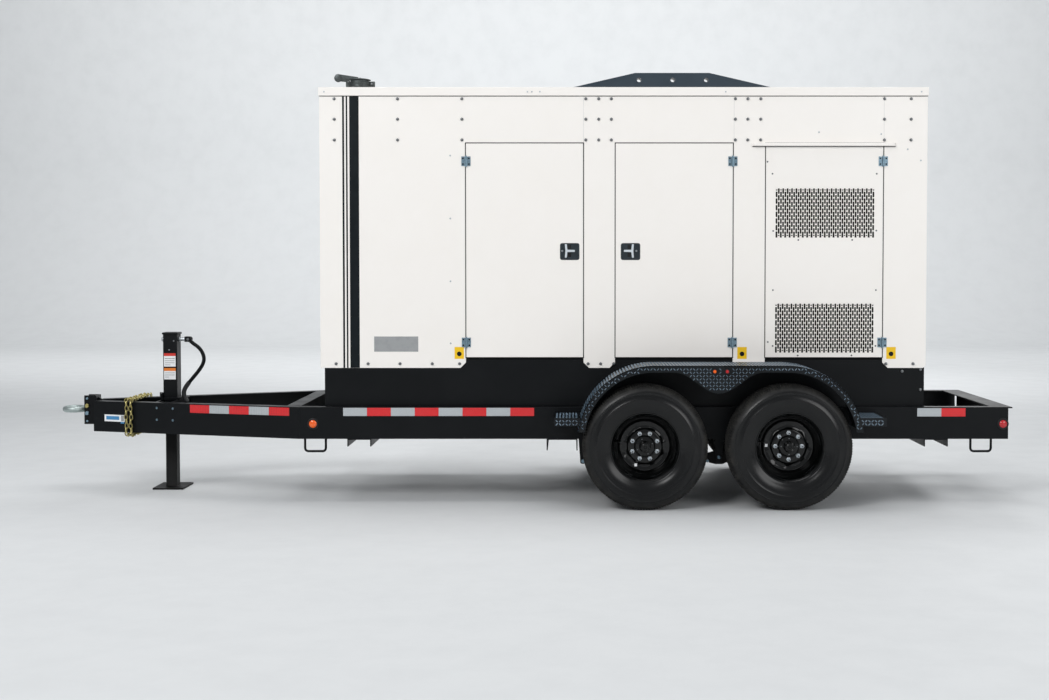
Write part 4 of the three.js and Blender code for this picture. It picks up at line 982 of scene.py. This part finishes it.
def tray(x0, x1, z0, z1, skin=True):
    """A door's folded edges: a rectangle's outline carried back 30 mm and turned inwards by 20 mm."""
    steps = [(0.0, SIDE), (0.0, SIDE + 0.030), (0.020, SIDE + 0.030), (0.020, SIDE + 0.0285), (0.0016, SIDE + 0.0285),
             (0.0016, SIDE + 0.0016)]
    rings = [np.insert(rectangle(x0 + inset, x1 - inset, z0 + inset, z1 - inset), 1, y, axis=1) for inset, y in steps]
    points, faces = patch(np.array(rings))
    if skin:
        faces += [[0, 1, 2, 3], [23, 22, 21, 20]]
    return points, faces


def hinge_leaf(x, inward, z):
    """One leaf of a butt hinge with two screws, on the outside face."""
    shape = [(x + inward * 0.002, z + 0.010), (x + inward * 0.012, z + 0.005), (x + inward * 0.029, z + 0.004),
             (x + inward * 0.029, z + 0.066), (x + inward * 0.012, z + 0.065), (x + inward * 0.002, z + 0.060)]
    leaf = slab(rounded(shape, 0.0025, 3, closed=True), "y", SIDE - 0.0028, SIDE)
    screws = heads([(x + inward * 0.019, SIDE - 0.0028, z + dz) for dz in (0.017, 0.053)], (0, -1, 0),
                   0.0055, 0.0016, 16)
    return leaf, screws


def surround(x0, x1, outer, inner, y0, y1):
    """A square ring round a door's outline, between two distances outside it, from y0 back to y1."""
    us, vs = ([low - outer, low - inner, high + inner, high + outer]
              for low, high in ((x0, x1), (DOOR_LOW, DOOR_HIGH)))
    return pierced(us, vs, RING, y0, y1)


def make_doors():
    """Door leaves with folded edges, linings, hinges and latches, every one from its own opening."""
    for place, (x0, x1, hinge) in DOORS.items():
        inward = 1 if hinge == x0 else -1
        leaf, behind, metal, dark, screws = [], [], [], [], []
        if place == "rear":
            us, vs = [x0, 1.622, 2.251, x1], [DOOR_LOW, *GRILLES[0], *GRILLES[1], DOOR_HIGH]
            solid = np.ones((3, 5), bool)
            solid[1, 1] = solid[1, 3] = False
            leaf += [tray(x0, x1, DOOR_LOW, DOOR_HIGH, skin=False),
                     pierced(us, vs, solid, SIDE, SIDE + 0.0016)]
            for low, high in GRILLES:
                leaf += perforations(1.622, 2.251, low, high, SIDE + 0.0001, SIDE + 0.0015)
            screws.append(heads([(x, SIDE, z) for x, z in (
                (1.602, 2.086), (2.264, 2.086), (1.608, 1.723), (2.264, 1.725), (1.768, 1.666), (2.111, 1.666),
                (1.608, 1.347), (2.264, 1.347), (1.608, 0.991), (2.264, 0.991), (1.768, 0.930), (2.111, 0.930),
                (1.570, 2.162), (1.577, 1.016))], (0, -1, 0), 0.0055, 0.0025, 16))
        else:
            leaf.append(tray(x0, x1, DOOR_LOW, DOOR_HIGH))
        behind.append(block((x0 + 0.024, SIDE + 0.0075, DOOR_LOW + 0.024),
                            (x1 - 0.024, SIDE + 0.024, DOOR_HIGH - 0.024)))
        for z in HINGE_LOWS:
            plate, screw = hinge_leaf(hinge, inward, z)
            barrel = turned([(0, 0), (0.0055, 0), (0.0068, 0.0012), (0.0068, 0.0225), (0.006, 0.0232), (0.0068, 0.024),
                             (0.0068, 0.0455), (0.006, 0.0462), (0.0068, 0.047), (0.0068, 0.0688), (0.0055, 0.070),
                             (0, 0.070)], (hinge, SIDE - 0.0068, z), "z", 20)
            metal += [plate, barrel]
            dark.append(screw)
        for side, sign in SIDES.items():
            node = f"door_{place}_{side}"
            piece(f"{place}_door_leaf_{side}", BODY_OF[node], {WHITE: leaf},
                  soften=0 if place == "rear" else 0.0012, replaces=[node], sign=sign)
            piece(f"{place}_door_lining_{side}", BODY_OF[node], {FOAM: behind}, sign=sign)
            piece(f"{place}_door_hinges_{side}", BODY_OF[node],
                  {HINGE_ZINC: metal, BLACK: dark, **({STAINLESS: screws} if screws else {})}, sign=sign)

    pans = {"front": (0.252, 0.376, 0.347, -1), "middle": (0.639, 0.763, 0.658, 1)}
    for place, (x0, x1, pivot, inward) in pans.items():
        z0, z1 = 1.538, 1.646
        rings = [np.insert(rectangle(x0 + inset, x1 - inset, z0 + inset, z1 - inset, 0.016 - 0.5 * inset, 6), 1, y,
                           axis=1) for inset, y in ((0, SIDE), (0.0008, SIDE - 0.0018), (0.0025, SIDE - 0.0025),
                                                    (0.010, SIDE - 0.0025), (0.012, SIDE - 0.0006))]
        points, faces = patch(np.array(rings))
        wide = rings[0].shape[0]
        faces += [list(range(4 * wide, 5 * wide)), list(range(wide))[::-1]]
        end, bar = pivot + 0.0004 * inward, [pivot + inward * reach for reach in (0.0475, 0.0515, 0.0645, 0.0605)]
        half = [(end, 1.5895), (bar[0], 1.5885), (bar[1], 1.5530), (bar[2], 1.5530), (bar[3], 1.5960)]
        pull = slab(rounded(half + [(x, 3.192 - z) for x, z in half[3::-1]], 0.003, 4, closed=True), "y",
                    SIDE - 0.0125, SIDE - 0.0035)
        lock = outwards(np.array([(0, 0.0075), (0.0055, 0.0075), (0.0065, 0.0055), (0.0065, 0.0020), (0, 0.0020)]),
                        (pivot + inward * 0.0805, SIDE, 1.596), 24)
        wells = [slab(rectangle(*sorted((pivot + inward * 0.024, pivot + inward * 0.044)), *zs, 0.003), "y",
                      SIDE - 0.0012, SIDE - 0.0004) for zs in ((1.558, 1.583), (1.609, 1.634))]
        for side, sign in SIDES.items():
            node = f"latch_{place}_{side}"
            piece(f"{place}_latch_pan_{side}", BODY_OF[f"door_{place}_{side}"],
                  {PAN_BLUE: [(points, faces)], SEAL: wells, ZINC: [lock]}, sign=sign)
            piece(f"{place}_latch_pull_{side}", BODY_OF[node], {PULL_SILVER: [pull]},
                  soften=0.0015, replaces=[node], sign=sign)


def endwise(shell, x):
    """A shell drawn on the left side, turned to face the tongue: y becomes x, and x becomes -y."""
    points, faces = shell
    return np.stack([x + (points[:, 1] - SIDE), -points[:, 0], points[:, 2]], axis=1), faces


def make_canopy():
    """What is fixed to the canopy: bolts, stripes, blank labels, seams, gutters with dark seal strips under them and
    under the roof's edge that are also painted shadow lines, door frames with painted shade in their gaps, and the air
    outlet.

    The panels, the roof and the lifting beam keep their CAD shape, with softened edges.
    """
    for node, width in (("front_panel", 0.0012), ("rear_panel", 0.0012), ("roof", 0.0015)):
        softened(node, WHITE, width)
    columns = (-1.180, -0.7785, -0.370, 0.416, 0.498, 0.578, 1.365, 1.444, 1.526, 2.311, 2.480)
    feet = (-1.176, -0.972, -0.7685, -0.563, -0.3886, 0.431, 0.511, 0.594, 1.3885, 1.471, 1.560, 2.331, 2.504)
    bolts = [(x, SIDE, z) for x in columns for z in (2.560, 2.431, 2.300)] + [(x, SIDE, 0.877) for x in feet]
    small = [(1.896, 2.349), (2.291, 2.337), (2.460, 2.241), (2.544, 2.170), (-0.445, 2.201), (-0.445, 1.802),
             (-0.445, 1.403), (-0.445, 1.007)]
    base = [(x, -0.5447, z) for x, z in ((2.436, 0.828), (2.553, 0.840), (2.553, 0.711))]
    fascia = [(x, -0.555, 2.604) for x in (-1.244, 0.046, 0.074, 0.125, 1.303, 2.544)]
    stripes = [block((x0, SIDE - 0.0004, 0.851), (x1, SIDE + 0.0005, 2.5785))
               for x0, x1 in ((-1.130, -1.118), (-1.107, -1.097), (-1.085, -1.025))]
    seams = [block((x - 0.0007, SIDE - 0.0003, DOOR_HIGH + 0.003), (x + 0.0007, SIDE + 0.0005, 2.579))
             for x in (0.402, 1.357, 2.309)]
    spots = (-0.4205, 1.383, 2.3335)
    labels = [block((x, SIDE - 0.0004, 0.908), (x + 0.060, SIDE + 0.0005, 0.984)) for x in spots]
    discs = [outwards(np.array([(0, 0.0006), (0.015, 0.0006), (0.015, 0), (0, 0)]), (x + 0.030, SIDE, 0.940), 28)
             for x in spots]
    plate = block((-0.933, SIDE - 0.0005, 0.954), (-0.652, SIDE + 0.0005, 1.051))
    nose = [(1.468, SIDE, 2.261), (1.484, SIDE - 0.018, 2.2615), (2.372, SIDE - 0.018, 2.2615), (2.388, SIDE, 2.261)]
    gutter_points = np.array(nose + [(x, y, z + 0.020) for x, y, z in nose])
    gutter = (gutter_points, [[0, 1, 2, 3], [7, 6, 5, 4], [0, 4, 5, 1], [1, 5, 6, 2], [2, 6, 7, 3], [3, 7, 4, 0]])
    # Dark rubber strips under the gutter and under the roof's edge: seals, and painted shadow lines where those edges
    # cast shade
    seals_for_shadow_lines = [block((1.474, SIDE - 0.010, 2.2575), (2.382, SIDE + 0.0003, 2.2612)),
            block((FRONT, SIDE - 0.0012, 2.5745), (REAR, SIDE + 0.0003, 2.5788))]
    cover = slab(rectangle(1.392, 1.521, 1.958, 2.095, 0.006), "y", SIDE - 0.002, SIDE + 0.0005)
    cover_rivets = heads([(x, SIDE - 0.002, z) for x in (1.401, 1.4565, 1.512) for z in (1.967, 2.0265, 2.086)
                          if (x, z) != (1.4565, 2.0265)], (0, -1, 0), 0.0035, 0.0018, 14)
    hinges, screw_heads = [], []
    for x0, x1, hinge in DOORS.values():
        for z in HINGE_LOWS:
            plate_there, screws = hinge_leaf(hinge, -1 if hinge == x0 else 1, z)
            hinges.append(plate_there)
            screw_heads.append(screws)
    gap_seals_and_shade = []
    for x0, x1, hinge in DOORS.values():
        us = [x0 - 0.030, x0 + 0.014, x1 - 0.014, x1 + 0.030]
        vs = [DOOR_LOW - 0.012, DOOR_LOW + 0.014, DOOR_HIGH - 0.014, DOOR_HIGH + 0.030]
        gap_seals_and_shade += [pierced(us, vs, RING, SIDE + 0.0325, SIDE + 0.0445),  # the seal behind the leaf
                   surround(x0, x1, 0.0029, 0.0014, SIDE + 0.0008, SIDE + 0.0300),  # painted shade: a dark lining in the gap, where shade falls
                   surround(x0, x1, 0.0062, 0.0012, SIDE - 0.0003, SIDE + 0.0006)]  # painted shadow: a dark band flush round the gap, where the gap's shadow falls on the panel
    for side, sign in SIDES.items():
        softened(f"side_panel_{side}", WHITE, 0.0012)
        piece(f"panel_bolts_{side}", "chassis",
              {STAINLESS: [heads(bolts, (0, -1, 0), 0.0105, 0.008), heads(base, (0, -1, 0), 0.010, 0.007)],
               ZINC: [heads([(x, SIDE, z) for x, z in small], (0, -1, 0), 0.0055, 0.0025, 16),
                      heads(fascia, (0, -1, 0), 0.005, 0.0022, 16)]},
              sign=sign)
        piece(f"panel_stripes_{side}", "chassis", {VINYL_BLACK: stripes}, sign=sign)
        piece(f"blank_labels_{side}", "chassis", {VINYL_YELLOW: labels, VINYL_BLACK: discs, VINYL_SILVER: [plate]},
              sign=sign)
        piece(f"post_seams_{side}", "chassis", {SEALANT: seams}, sign=sign)
        piece(f"gutter_cover_and_shadow_seals_{side}", "chassis", {WHITE: [gutter, cover, cover_rivets], SEAL: seals_for_shadow_lines},
              sign=sign)
        piece(f"panel_hinge_leaves_{side}", "chassis", {HINGE_ZINC: hinges, BLACK: screw_heads}, sign=sign)
        piece(f"door_seals_and_gap_shade_{side}", "chassis", {SEAL: gap_seals_and_shade}, sign=sign)

    # the front end: the cooling air leaves through a perforated plate over a dark baffle
    outlet = [endwise(s, FRONT - 0.004) for s in perforations(-0.425, 0.425, 1.15, 2.25, SIDE, SIDE + 0.002, 60, 24)]
    rim = endwise(pierced([-0.46, -0.425, 0.425, 0.46], [1.115, 1.15, 2.25, 2.285], RING, SIDE, SIDE + 0.0038),
                  FRONT - 0.0042)
    baffle = block((FRONT - 0.0012, -0.43, 1.145), (FRONT, 0.43, 2.255))
    edge = [(FRONT - 0.004, y, z) for y in np.linspace(-0.4425, 0.4425, 7) for z in (1.1325, 2.2675)]
    edge += [(FRONT - 0.004, y, z) for z in np.linspace(1.32, 2.08, 5) for y in (-0.4425, 0.4425)]
    piece("air_outlet", "chassis", {WHITE: [*outlet, rim], FOAM: [baffle],
                                    STAINLESS: [heads(edge, (-1, 0, 0), 0.0075, 0.005)]})

    softened("lifting_beam", SLATE, 0.002)
    sleeves = []
    for x in (0.779, 1.004, 1.229):
        ring = [(0.0145, -0.0460), (0.0165, -0.0470), (0.0215, -0.0460), (0.0215, 0.0460), (0.0165, 0.0470),
                (0.0145, 0.0460)]
        sleeves.append(turned(ring, (x, 0, 2.747), "y", 36, closed=True))
    piece("lifting_sleeves", "chassis", {SLATE: sleeves})


def make_control_door():
    """The rear door's leaf with folded edges, its lining, hinge leaves and latch."""
    y, z0, z1 = 0.440, 1.215, 2.510
    steps = [(0.0, REAR), (0.0, REAR - 0.030), (0.020, REAR - 0.030), (0.020, REAR - 0.0285), (0.0016, REAR - 0.0285),
             (0.0016, REAR - 0.0016)]
    rings = [np.insert(rectangle(-y + inset, y - inset, z0 + inset, z1 - inset), 0, x, axis=1) for inset, x in steps]
    points, faces = patch(np.array(rings))
    faces += [[0, 1, 2, 3], [23, 22, 21, 20]]
    lining = block((REAR - 0.024, -y + 0.024, z0 + 0.024), (REAR - 0.0075, y - 0.024, z1 - 0.024))
    metal, fixed = [], []
    for z in (1.280, 2.382):
        metal += [block((REAR, -y + 0.002, z), (REAR + 0.0026, -y + 0.028, z + 0.070)),
                  heads([(REAR + 0.0026, -y + 0.018, z + dz) for dz in (0.016, 0.054)], (1, 0, 0), 0.0052, 0.0016, 16),
                  turned([(0, 0), (0.0055, 0), (0.0068, 0.0012), (0.0068, 0.0225), (0.006, 0.0232), (0.0068, 0.024),
                          (0.0068, 0.0688), (0.0055, 0.070), (0, 0.070)], (REAR + 0.0068, -y, z), "z", 20)]
        fixed += [block((REAR, -y - 0.028, z), (REAR + 0.0026, -y - 0.002, z + 0.070)),
                  heads([(REAR + 0.0026, -y - 0.018, z + dz) for dz in (0.016, 0.054)], (1, 0, 0), 0.0052, 0.0016, 16)]
    pan = [np.insert(rectangle(0.330 + i, 0.410 - i, 1.790 + i, 1.930 - i, 0.014 - 0.5 * i, 6), 0, x, axis=1)
           for i, x in ((0, REAR), (0.0008, REAR + 0.0035), (0.003, REAR + 0.005), (0.009, REAR + 0.005),
                        (0.011, REAR + 0.001))]
    pan_points, pan_faces = patch(np.array(pan))
    wide = pan[0].shape[0]
    pan_faces += [list(range(4 * wide, 5 * wide)), list(range(wide))[::-1]]
    handle = slab(rounded([(0.350, 1.800), (0.390, 1.800), (0.384, 1.900), (0.356, 1.900)], 0.008, 4, closed=True), "x",
                  REAR + 0.003, REAR + 0.010)
    lock = turned([(0, 0.012), (0.009, 0.012), (0.010, 0.010), (0.010, 0.002), (0, 0.002)],
                  (REAR, 0.370, 1.914), "x", 28)
    body = BODY_OF["control_door"]
    piece("control_door_leaf", body, {WHITE: [(points, faces)]}, soften=0.0012,
          replaces=["control_door"])
    piece("control_door_fittings", body, {FOAM: [lining], HINGE_ZINC: metal, LATCH_BLACK: [(pan_points, pan_faces)],
                                          STAINLESS: [handle, lock]})
    piece("control_door_hinge_leaves", "chassis", {HINGE_ZINC: fixed})


make_canopy()
make_doors()
make_control_door()


# ---------- exhaust and rain cap ----------
def make_exhaust():
    """The silencer and its stack, the clamp, and the rain cap with its counterweight."""
    x, top = -1.100, 2.746
    can = turned([(0, -1.220), (0.060, -1.220), (0.125, -1.214), (0.143, -1.204), (0.148, -1.190), (0.148, -1.060),
                  (0.150, -1.057), (0.150, -1.049), (0.148, -1.046), (0.148, -0.700), (0.150, -0.697), (0.150, -0.689),
                  (0.148, -0.686), (0.148, -0.590), (0.143, -0.574), (0.120, -0.563), (0.060, -0.560), (0, -0.560)],
                 (0, 0, 2.230), "x", 64)
    stack = turned([(0.062, 2.30), (0.062, top - 0.001), (0.0612, top), (0.0560, top), (0.0552, top - 0.001),
                    (0.0552, 2.30)], (x, 0, 0), "z", 72, closed=True)
    band = turned([(0.0622, 2.698), (0.0668, 2.698), (0.0675, 2.700), (0.0675, 2.706), (0.0662, 2.708), (0.0662, 2.725),
                   (0.0675, 2.727), (0.0675, 2.732), (0.0668, 2.734), (0.0622, 2.734)], (x, 0, 0), "z", 72, closed=True)
    lug_plate = [block((x + 0.060, low, 2.706), (x + 0.1015, high, 2.741)) for low, high in ((-0.009, -0.004),
                                                                                            (0.004, 0.009))]
    ears = [slab(rounded([(x - 0.092, 2.702), (x - 0.064, 2.702), (x - 0.064, 2.7465), (x - 0.092, 2.7465)], 0.006, 4,
                         closed=True), "y", low, high) for low, high in ((-0.014, -0.006), (0.006, 0.014))]
    tie = block((x - 0.080, -0.010, 2.700), (x - 0.060, 0.010, 2.716))
    bends = [(-0.58, 0, 2.230), (0.060, 0, 2.230), (0.060, 0.130, 1.960), (0.060, 0.130, 1.8005)]
    inlet = tube(rounded(bends, 0.11, 10), 0.048, 32)
    bolt = [heads([(x + 0.083, -0.009, 2.724)], (0, -1, 0), 0.0085, 0.007),
            heads([(x + 0.083, 0.009, 2.724)], (0, 1, 0), 0.0085, 0.009),
            heads([(-1.176, -0.014, 2.738)], (0, -1, 0), 0.005, 0.003, 16),
            heads([(-1.176, 0.014, 2.738)], (0, 1, 0), 0.005, 0.003, 16)]
    piece("silencer_and_stack", "chassis", {PIPE: [can, stack, band, *lug_plate, *ears, tie, inlet], STAINLESS: bolt},
          replaces=["exhaust"])

    base = top + 0.0025
    lid = turned([(0, 0), (0.069, 0), (0.0705, 0.001), (0.0705, 0.004), (0.069, 0.0052), (0.050, 0.010), (0.024, 0.0138),
                  (0, 0.015)], (x + 0.003, 0, base), "z", 64)
    profile = [(-1.246, 2.792), (-1.262, 2.788), (-1.245, 2.744), (-1.184, 2.738), (-1.171, 2.741), (-1.170, 2.749),
               (-1.150, 2.752), (-1.110, 2.757), (-1.110, 2.771)]
    arm = slab(profile, "y", -0.0045, 0.0045)
    weight = turned([(0, -0.007), (0.0235, -0.007), (0.0262, -0.0055), (0.027, -0.003), (0.027, 0.003),
                     (0.0262, 0.0055), (0.0235, 0.007), (0, 0.007)], (-1.245, 0, 2.765), "y", 40)
    stud = heads([(x + 0.003, 0, base + 0.0145)], (0, 0, 1), 0.007, 0.005)
    piece("rain_cap_lid", BODY_OF["rain_cap"], {PIPE: [lid, arm, weight], STAINLESS: [stud]},
          replaces=["rain_cap"])


make_exhaust()


# ---------- engine, alternator and controls ----------
def turned_about_x(shell, angle, height):
    """A shell drawn above the X axis, turned about it and lifted to a height."""
    points, faces = shell
    c, s = math.cos(angle), math.sin(angle)
    return np.stack([points[:, 0], c * points[:, 1] - s * points[:, 2],
                     height + s * points[:, 1] + c * points[:, 2]], axis=1), faces


def make_power_unit():
    """Engine, alternator, radiator, fan, battery, cabinet and stop button: plain housings with generic details."""
    # a straight six: crankcase with ribs, six rocker covers, sump, filters, manifold and air cleaner
    case = block((-0.148, -0.215, 1.082), (0.938, 0.215, 1.618))
    ribs = [block((x - 0.006, -0.229, 1.12), (x + 0.006, 0.229, 1.56)) for x in np.linspace(-0.10, 0.89, 12)]
    rails = [block((-0.149, -0.229, z), (0.939, 0.229, z + 0.022)) for z in (1.082, 1.340, 1.596)]
    covers = [block((x, -0.102, 1.612), (x + 0.142, 0.102, 1.735)) for x in np.linspace(-0.108, 0.735, 6)]
    cover_bolts = heads([(x + 0.071, 0, 1.735) for x in np.linspace(-0.108, 0.735, 6)], (0, 0, 1), 0.013, 0.010)
    housing = turned([(0, 0.931), (0.262, 0.931), (0.278, 0.940), (0.280, 0.992), (0.274, 1.0095), (0, 1.0095)],
                     (0, 0, 1.330), "x", 64)
    t = np.arange(12) * np.pi / 6
    ring = [(0.940, 0.266 * math.cos(a), 1.330 + 0.266 * math.sin(a)) for a in t]
    sump = block((-0.058, -0.148, 0.962), (0.718, 0.148, 1.084))
    filters = [turned([(0, 0), (0.036, 0), (0.042, 0.008), (0.042, 0.150), (0.046, 0.154), (0.046, 0.170), (0, 0.170)],
                      (px, -0.275, 1.190), "z", 32) for px in (0.120, 0.240)]
    filter_heads = block((0.060, -0.318, 1.358), (0.300, -0.214, 1.396))
    manifold = tube(rounded([(-0.08, 0.150, 1.690), (0.86, 0.150, 1.690), (0.86, 0.150, 1.62)], 0.04, 6), 0.034, 20)
    riser = turned([(0, 1.612), (0.046, 1.612), (0.046, 1.770), (0.058, 1.772), (0.058, 1.790), (0.046, 1.792),
                    (0.046, 1.799), (0, 1.799)], (0.060, 0.130, 0), "z", 36)
    turbo = turned([(0, 0.120), (0.045, 0.120), (0.060, 0.150), (0.085, 0.165), (0.085, 0.215), (0.050, 0.230),
                    (0.050, 0.250), (0.080, 0.262), (0.085, 0.300), (0.060, 0.328), (0, 0.330)], (0, 0.250, 1.650),
                   "x", 40)
    cleaner = turned([(0, 0.430), (0.090, 0.430), (0.104, 0.440), (0.104, 0.560), (0.1055, 0.563), (0.1055, 0.575),
                      (0.104, 0.578), (0.104, 0.690), (0.1055, 0.693), (0.1055, 0.705), (0.104, 0.708), (0.104, 0.810),
                      (0.090, 0.820), (0, 0.820)], (0, 0.300, 1.850), "x", 48)
    stay = block((0.562, 0.202, 1.500), (0.638, 0.278, 1.760))
    feet = [shell for px in (-0.020, 0.780) for py in (-0.200, 0.200)
            for shell in (block((px - 0.050, py - 0.040, 0.955), (px + 0.050, py + 0.040, 1.150)),
                          turned([(0, 0.9056), (0.048, 0.9056), (0.048, 0.925), (0.034, 0.932), (0.034, 0.956),
                                  (0, 0.956)], (px, py, 0), "z", 28))]
    pulley = turned([(0, -0.170), (0.095, -0.170), (0.100, -0.166), (0.090, -0.161), (0.100, -0.156), (0.100, -0.151),
                     (0, -0.151)], (0, 0, 1.200), "x", 40)
    piece("engine_castings", "chassis",
          {ENGINE_GREY: [case, *ribs, *rails, *covers, housing, filter_heads],
           BLACK: [sump, *feet, manifold, cleaner, stay, pulley], PIPE: [riser, turbo],
           VINYL_WHITE: filters, HINGE_ZINC: [cover_bolts, heads(ring, (-1, 0, 0), 0.010, 0.008)]},
          soften=0.0015, replaces=["engine"])

    frame_ribs = [turned_about_x(block((1.060, -0.006, 0.270), (1.640, 0.006, 0.2895)), a, 1.330)
                  for a in np.arange(24) * np.pi / 12]
    drum = turned([(0, 1.0115), (0.286, 1.0115), (0.290, 1.016), (0.290, 1.052), (0.274, 1.058), (0.274, 1.642),
                   (0.290, 1.650), (0.290, 1.735), (0.282, 1.740), (0.215, 1.742), (0.210, 1.750), (0.210, 1.820),
                   (0.196, 1.829), (0, 1.829)], (0, 0, 1.330), "x", 72)
    slots = [turned_about_x(block((1.7395, -0.012, 0.225), (1.7412, 0.012, 0.268)), a, 1.330)
             for a in np.arange(20) * np.pi / 10]
    box_on_top = block((1.182, -0.188, 1.570), (1.638, 0.188, 1.772))
    lid = block((1.176, -0.1895, 1.764), (1.6395, 0.1895, 1.7795))
    lid_bolts = heads([(px, py, 1.7795) for px in (1.20, 1.41, 1.62) for py in (-0.172, 0.172)], (0, 0, 1),
                      0.008, 0.005)
    stands = [block((px - 0.050, py - 0.040, 0.9056), (px + 0.050, py + 0.040, 1.250)) for px in (1.120, 1.620)
              for py in (-0.220, 0.220)]
    piece("alternator_casing", "chassis", {ALTERNATOR_BLUE: [drum, *frame_ribs, box_on_top, lid], BLACK: stands,
                                           DARK_PLASTIC: slots, STAINLESS: [lid_bolts]},
          soften=0.0012, replaces=["alternator"])

    core = block((-0.478, -0.425, 0.960), (-0.412, 0.425, 2.000))
    tanks = [block((-0.480, -0.460, 2.000), (-0.410, 0.460, 2.060)),
             block((-0.480, -0.460, 0.9056), (-0.410, 0.460, 0.960))]
    posts = [block((-0.480, y0, 0.94), (-0.410, y0 + 0.035, 2.02)) for y0 in (-0.460, 0.425)]
    filler = turned([(0, 2.058), (0.026, 2.058), (0.026, 2.072), (0.034, 2.074), (0.034, 2.088), (0.028, 2.092),
                     (0, 2.092)], (-0.445, 0.150, 0), "z", 32)
    hoop = turned([(0.390, -0.409), (0.398, -0.409), (0.398, -0.332), (0.390, -0.332)], (0, 0, 1.430), "x", 80,
                  closed=True)
    t = np.linspace(0, 2 * np.pi, 81)[:-1]
    rim_square = np.stack([np.clip(0.60 * np.cos(t), -0.430, 0.430), np.clip(0.60 * np.sin(t), -0.430, 0.430) + 1.430],
                          axis=1)
    rim_inside = rim_square * 0.999 + (0, 0.00143)  # 0.1 % smaller about its own middle
    rim_round = np.stack([0.390 * np.cos(t), 1.430 + 0.390 * np.sin(t)], axis=1)
    shroud, shroud_faces = patch(np.array([np.insert(r, 0, px, axis=1) for r, px in (
        (rim_square, -0.4105), (rim_square, -0.395), (rim_round, -0.340), (rim_round, -0.342), (rim_square, -0.398),
        (rim_inside, -0.4105))]))
    piece("radiator_and_shroud", "chassis", {CORE: [core], BLACK: [*tanks, *posts, hoop, (shroud, shroud_faces)],
                                             STAINLESS: [filler]}, replaces=["radiator"])
    softened("fan", DARK_PLASTIC, 0.002)

    case = block((1.952, -0.468, 0.9056), (2.248, -0.292, 1.085))
    cover = block((1.9505, -0.4695, 1.088), (2.2495, -0.2905, 1.112))
    posts = [turned([(0, 1.110), (0.011, 1.110), (0.009, 1.1195), (0, 1.1195)], (px, -0.320, 0), "z", 24)
             for px in (1.990, 2.210)]
    caps = [turned([(0, 1.1115), (0.017, 1.1115), (0.017, 1.1165), (0, 1.1165)], (px, -0.320, 0), "z", 24)
            for px in (1.990, 2.210)]
    vents = heads([(px, -0.400, 1.112) for px in np.linspace(1.985, 2.215, 6)], (0, 0, 1), 0.013, 0.004, 20)
    piece("starting_battery", "chassis", {DARK_PLASTIC: [case, cover, vents], STOP_RED: caps[:1], LATCH_BLACK: caps[1:],
                                          STAINLESS: posts}, soften=0.0015, replaces=["battery"])

    low, high = 1.350, 2.050
    cabinet = block((2.3202, -0.260, low), (2.4995, 0.260, high))
    door = slab(rectangle(-0.245, 0.245, low + 0.015, high - 0.015, 0.006), "x", 2.4985, 2.5035)
    leg = block((2.352, -0.198, 0.9056), (2.4595, 0.198, low + 0.001))
    screen = slab(rectangle(-0.085, 0.105, 1.800, 1.925, 0.008), "x", 2.503, 2.507)
    glass = slab(rectangle(-0.072, 0.092, 1.815, 1.910, 0.004), "x", 2.507, 2.5078)
    keys = [turned([(0, 0), (0.008, 0), (0.0085, 0.002), (0.0075, 0.0045), (0, 0.005)], (2.5035, py, 1.772), "x", 20)
            for py in np.linspace(-0.070, 0.090, 5)]
    breakers = [block((2.503, y0, 1.480), (2.516, y0 + 0.090, 1.640)) for y0 in (-0.165, -0.045, 0.075)]
    levers = [block((2.516, y0 + 0.036, 1.560), (2.526, y0 + 0.054, 1.595)) for y0 in (-0.165, -0.045, 0.075)]
    lamps = [turned([(0, 0), (0.010, 0), (0.010, 0.005), (0.006, 0.009), (0, 0.010)], (2.5035, 0.185, pz), "x", 24)
             for pz in (1.830, 1.870, 1.910)]
    collar = turned([(0.026, 2.5035), (0.042, 2.5035), (0.042, 2.5048), (0.026, 2.5048)], (0, -0.180, 1.900), "x", 40,
                    closed=True)
    piece("control_cabinet", "chassis",
          {PANEL_GREY: [cabinet, door], BLACK: [leg], DARK_PLASTIC: [screen, *breakers], VINYL_BLUE: [glass],
           LATCH_BLACK: [*keys, *levers], AMBER: lamps[:1], STOP_RED: lamps[1:2], VINYL_WHITE: lamps[2:],
           VINYL_YELLOW: [collar]}, soften=0.001, replaces=["control_panel"])
    mushroom = turned([(0, 2.4925), (0.0133, 2.4925), (0.0133, 2.509), (0.022, 2.509), (0.024, 2.5115), (0.024, 2.519),
                       (0.021, 2.5235), (0.012, 2.5255), (0, 2.526)], (0, -0.180, 1.900), "x", 48)
    piece("stop_mushroom", BODY_OF["stop_button"], {STOP_RED: [mushroom]}, replaces=["stop_button"])


make_power_unit()


# ---------- floor ----------
def lay_floor():
    """A flat floor that curves up into a back wall."""
    t = np.linspace(0, np.pi / 2, 13)
    bend = np.stack([16 + 4 * np.sin(t), 4 - 4 * np.cos(t)], axis=1)
    profile = np.concatenate([[(-40.0, 0.0)], bend, [(20.0, 30.0)]])
    rows = np.array([[(x, y, z) for y, z in profile] for x in (-60.0, 60.0)])
    points, faces = patch(rows, wrap_columns=False)
    mesh = bpy.data.meshes.new("studio_floor")
    mesh.from_pydata(points.tolist(), [], faces)
    mesh.shade_smooth()
    floor = bpy.data.objects.new("studio_floor", mesh)
    mesh.materials.append(painted("floor_paint", "#cfd1d2", "#c6c8c9", 0.7, 8.0, 0.2, haze=0.4))
    bpy.context.scene.collection.objects.link(floor)


lay_floor()
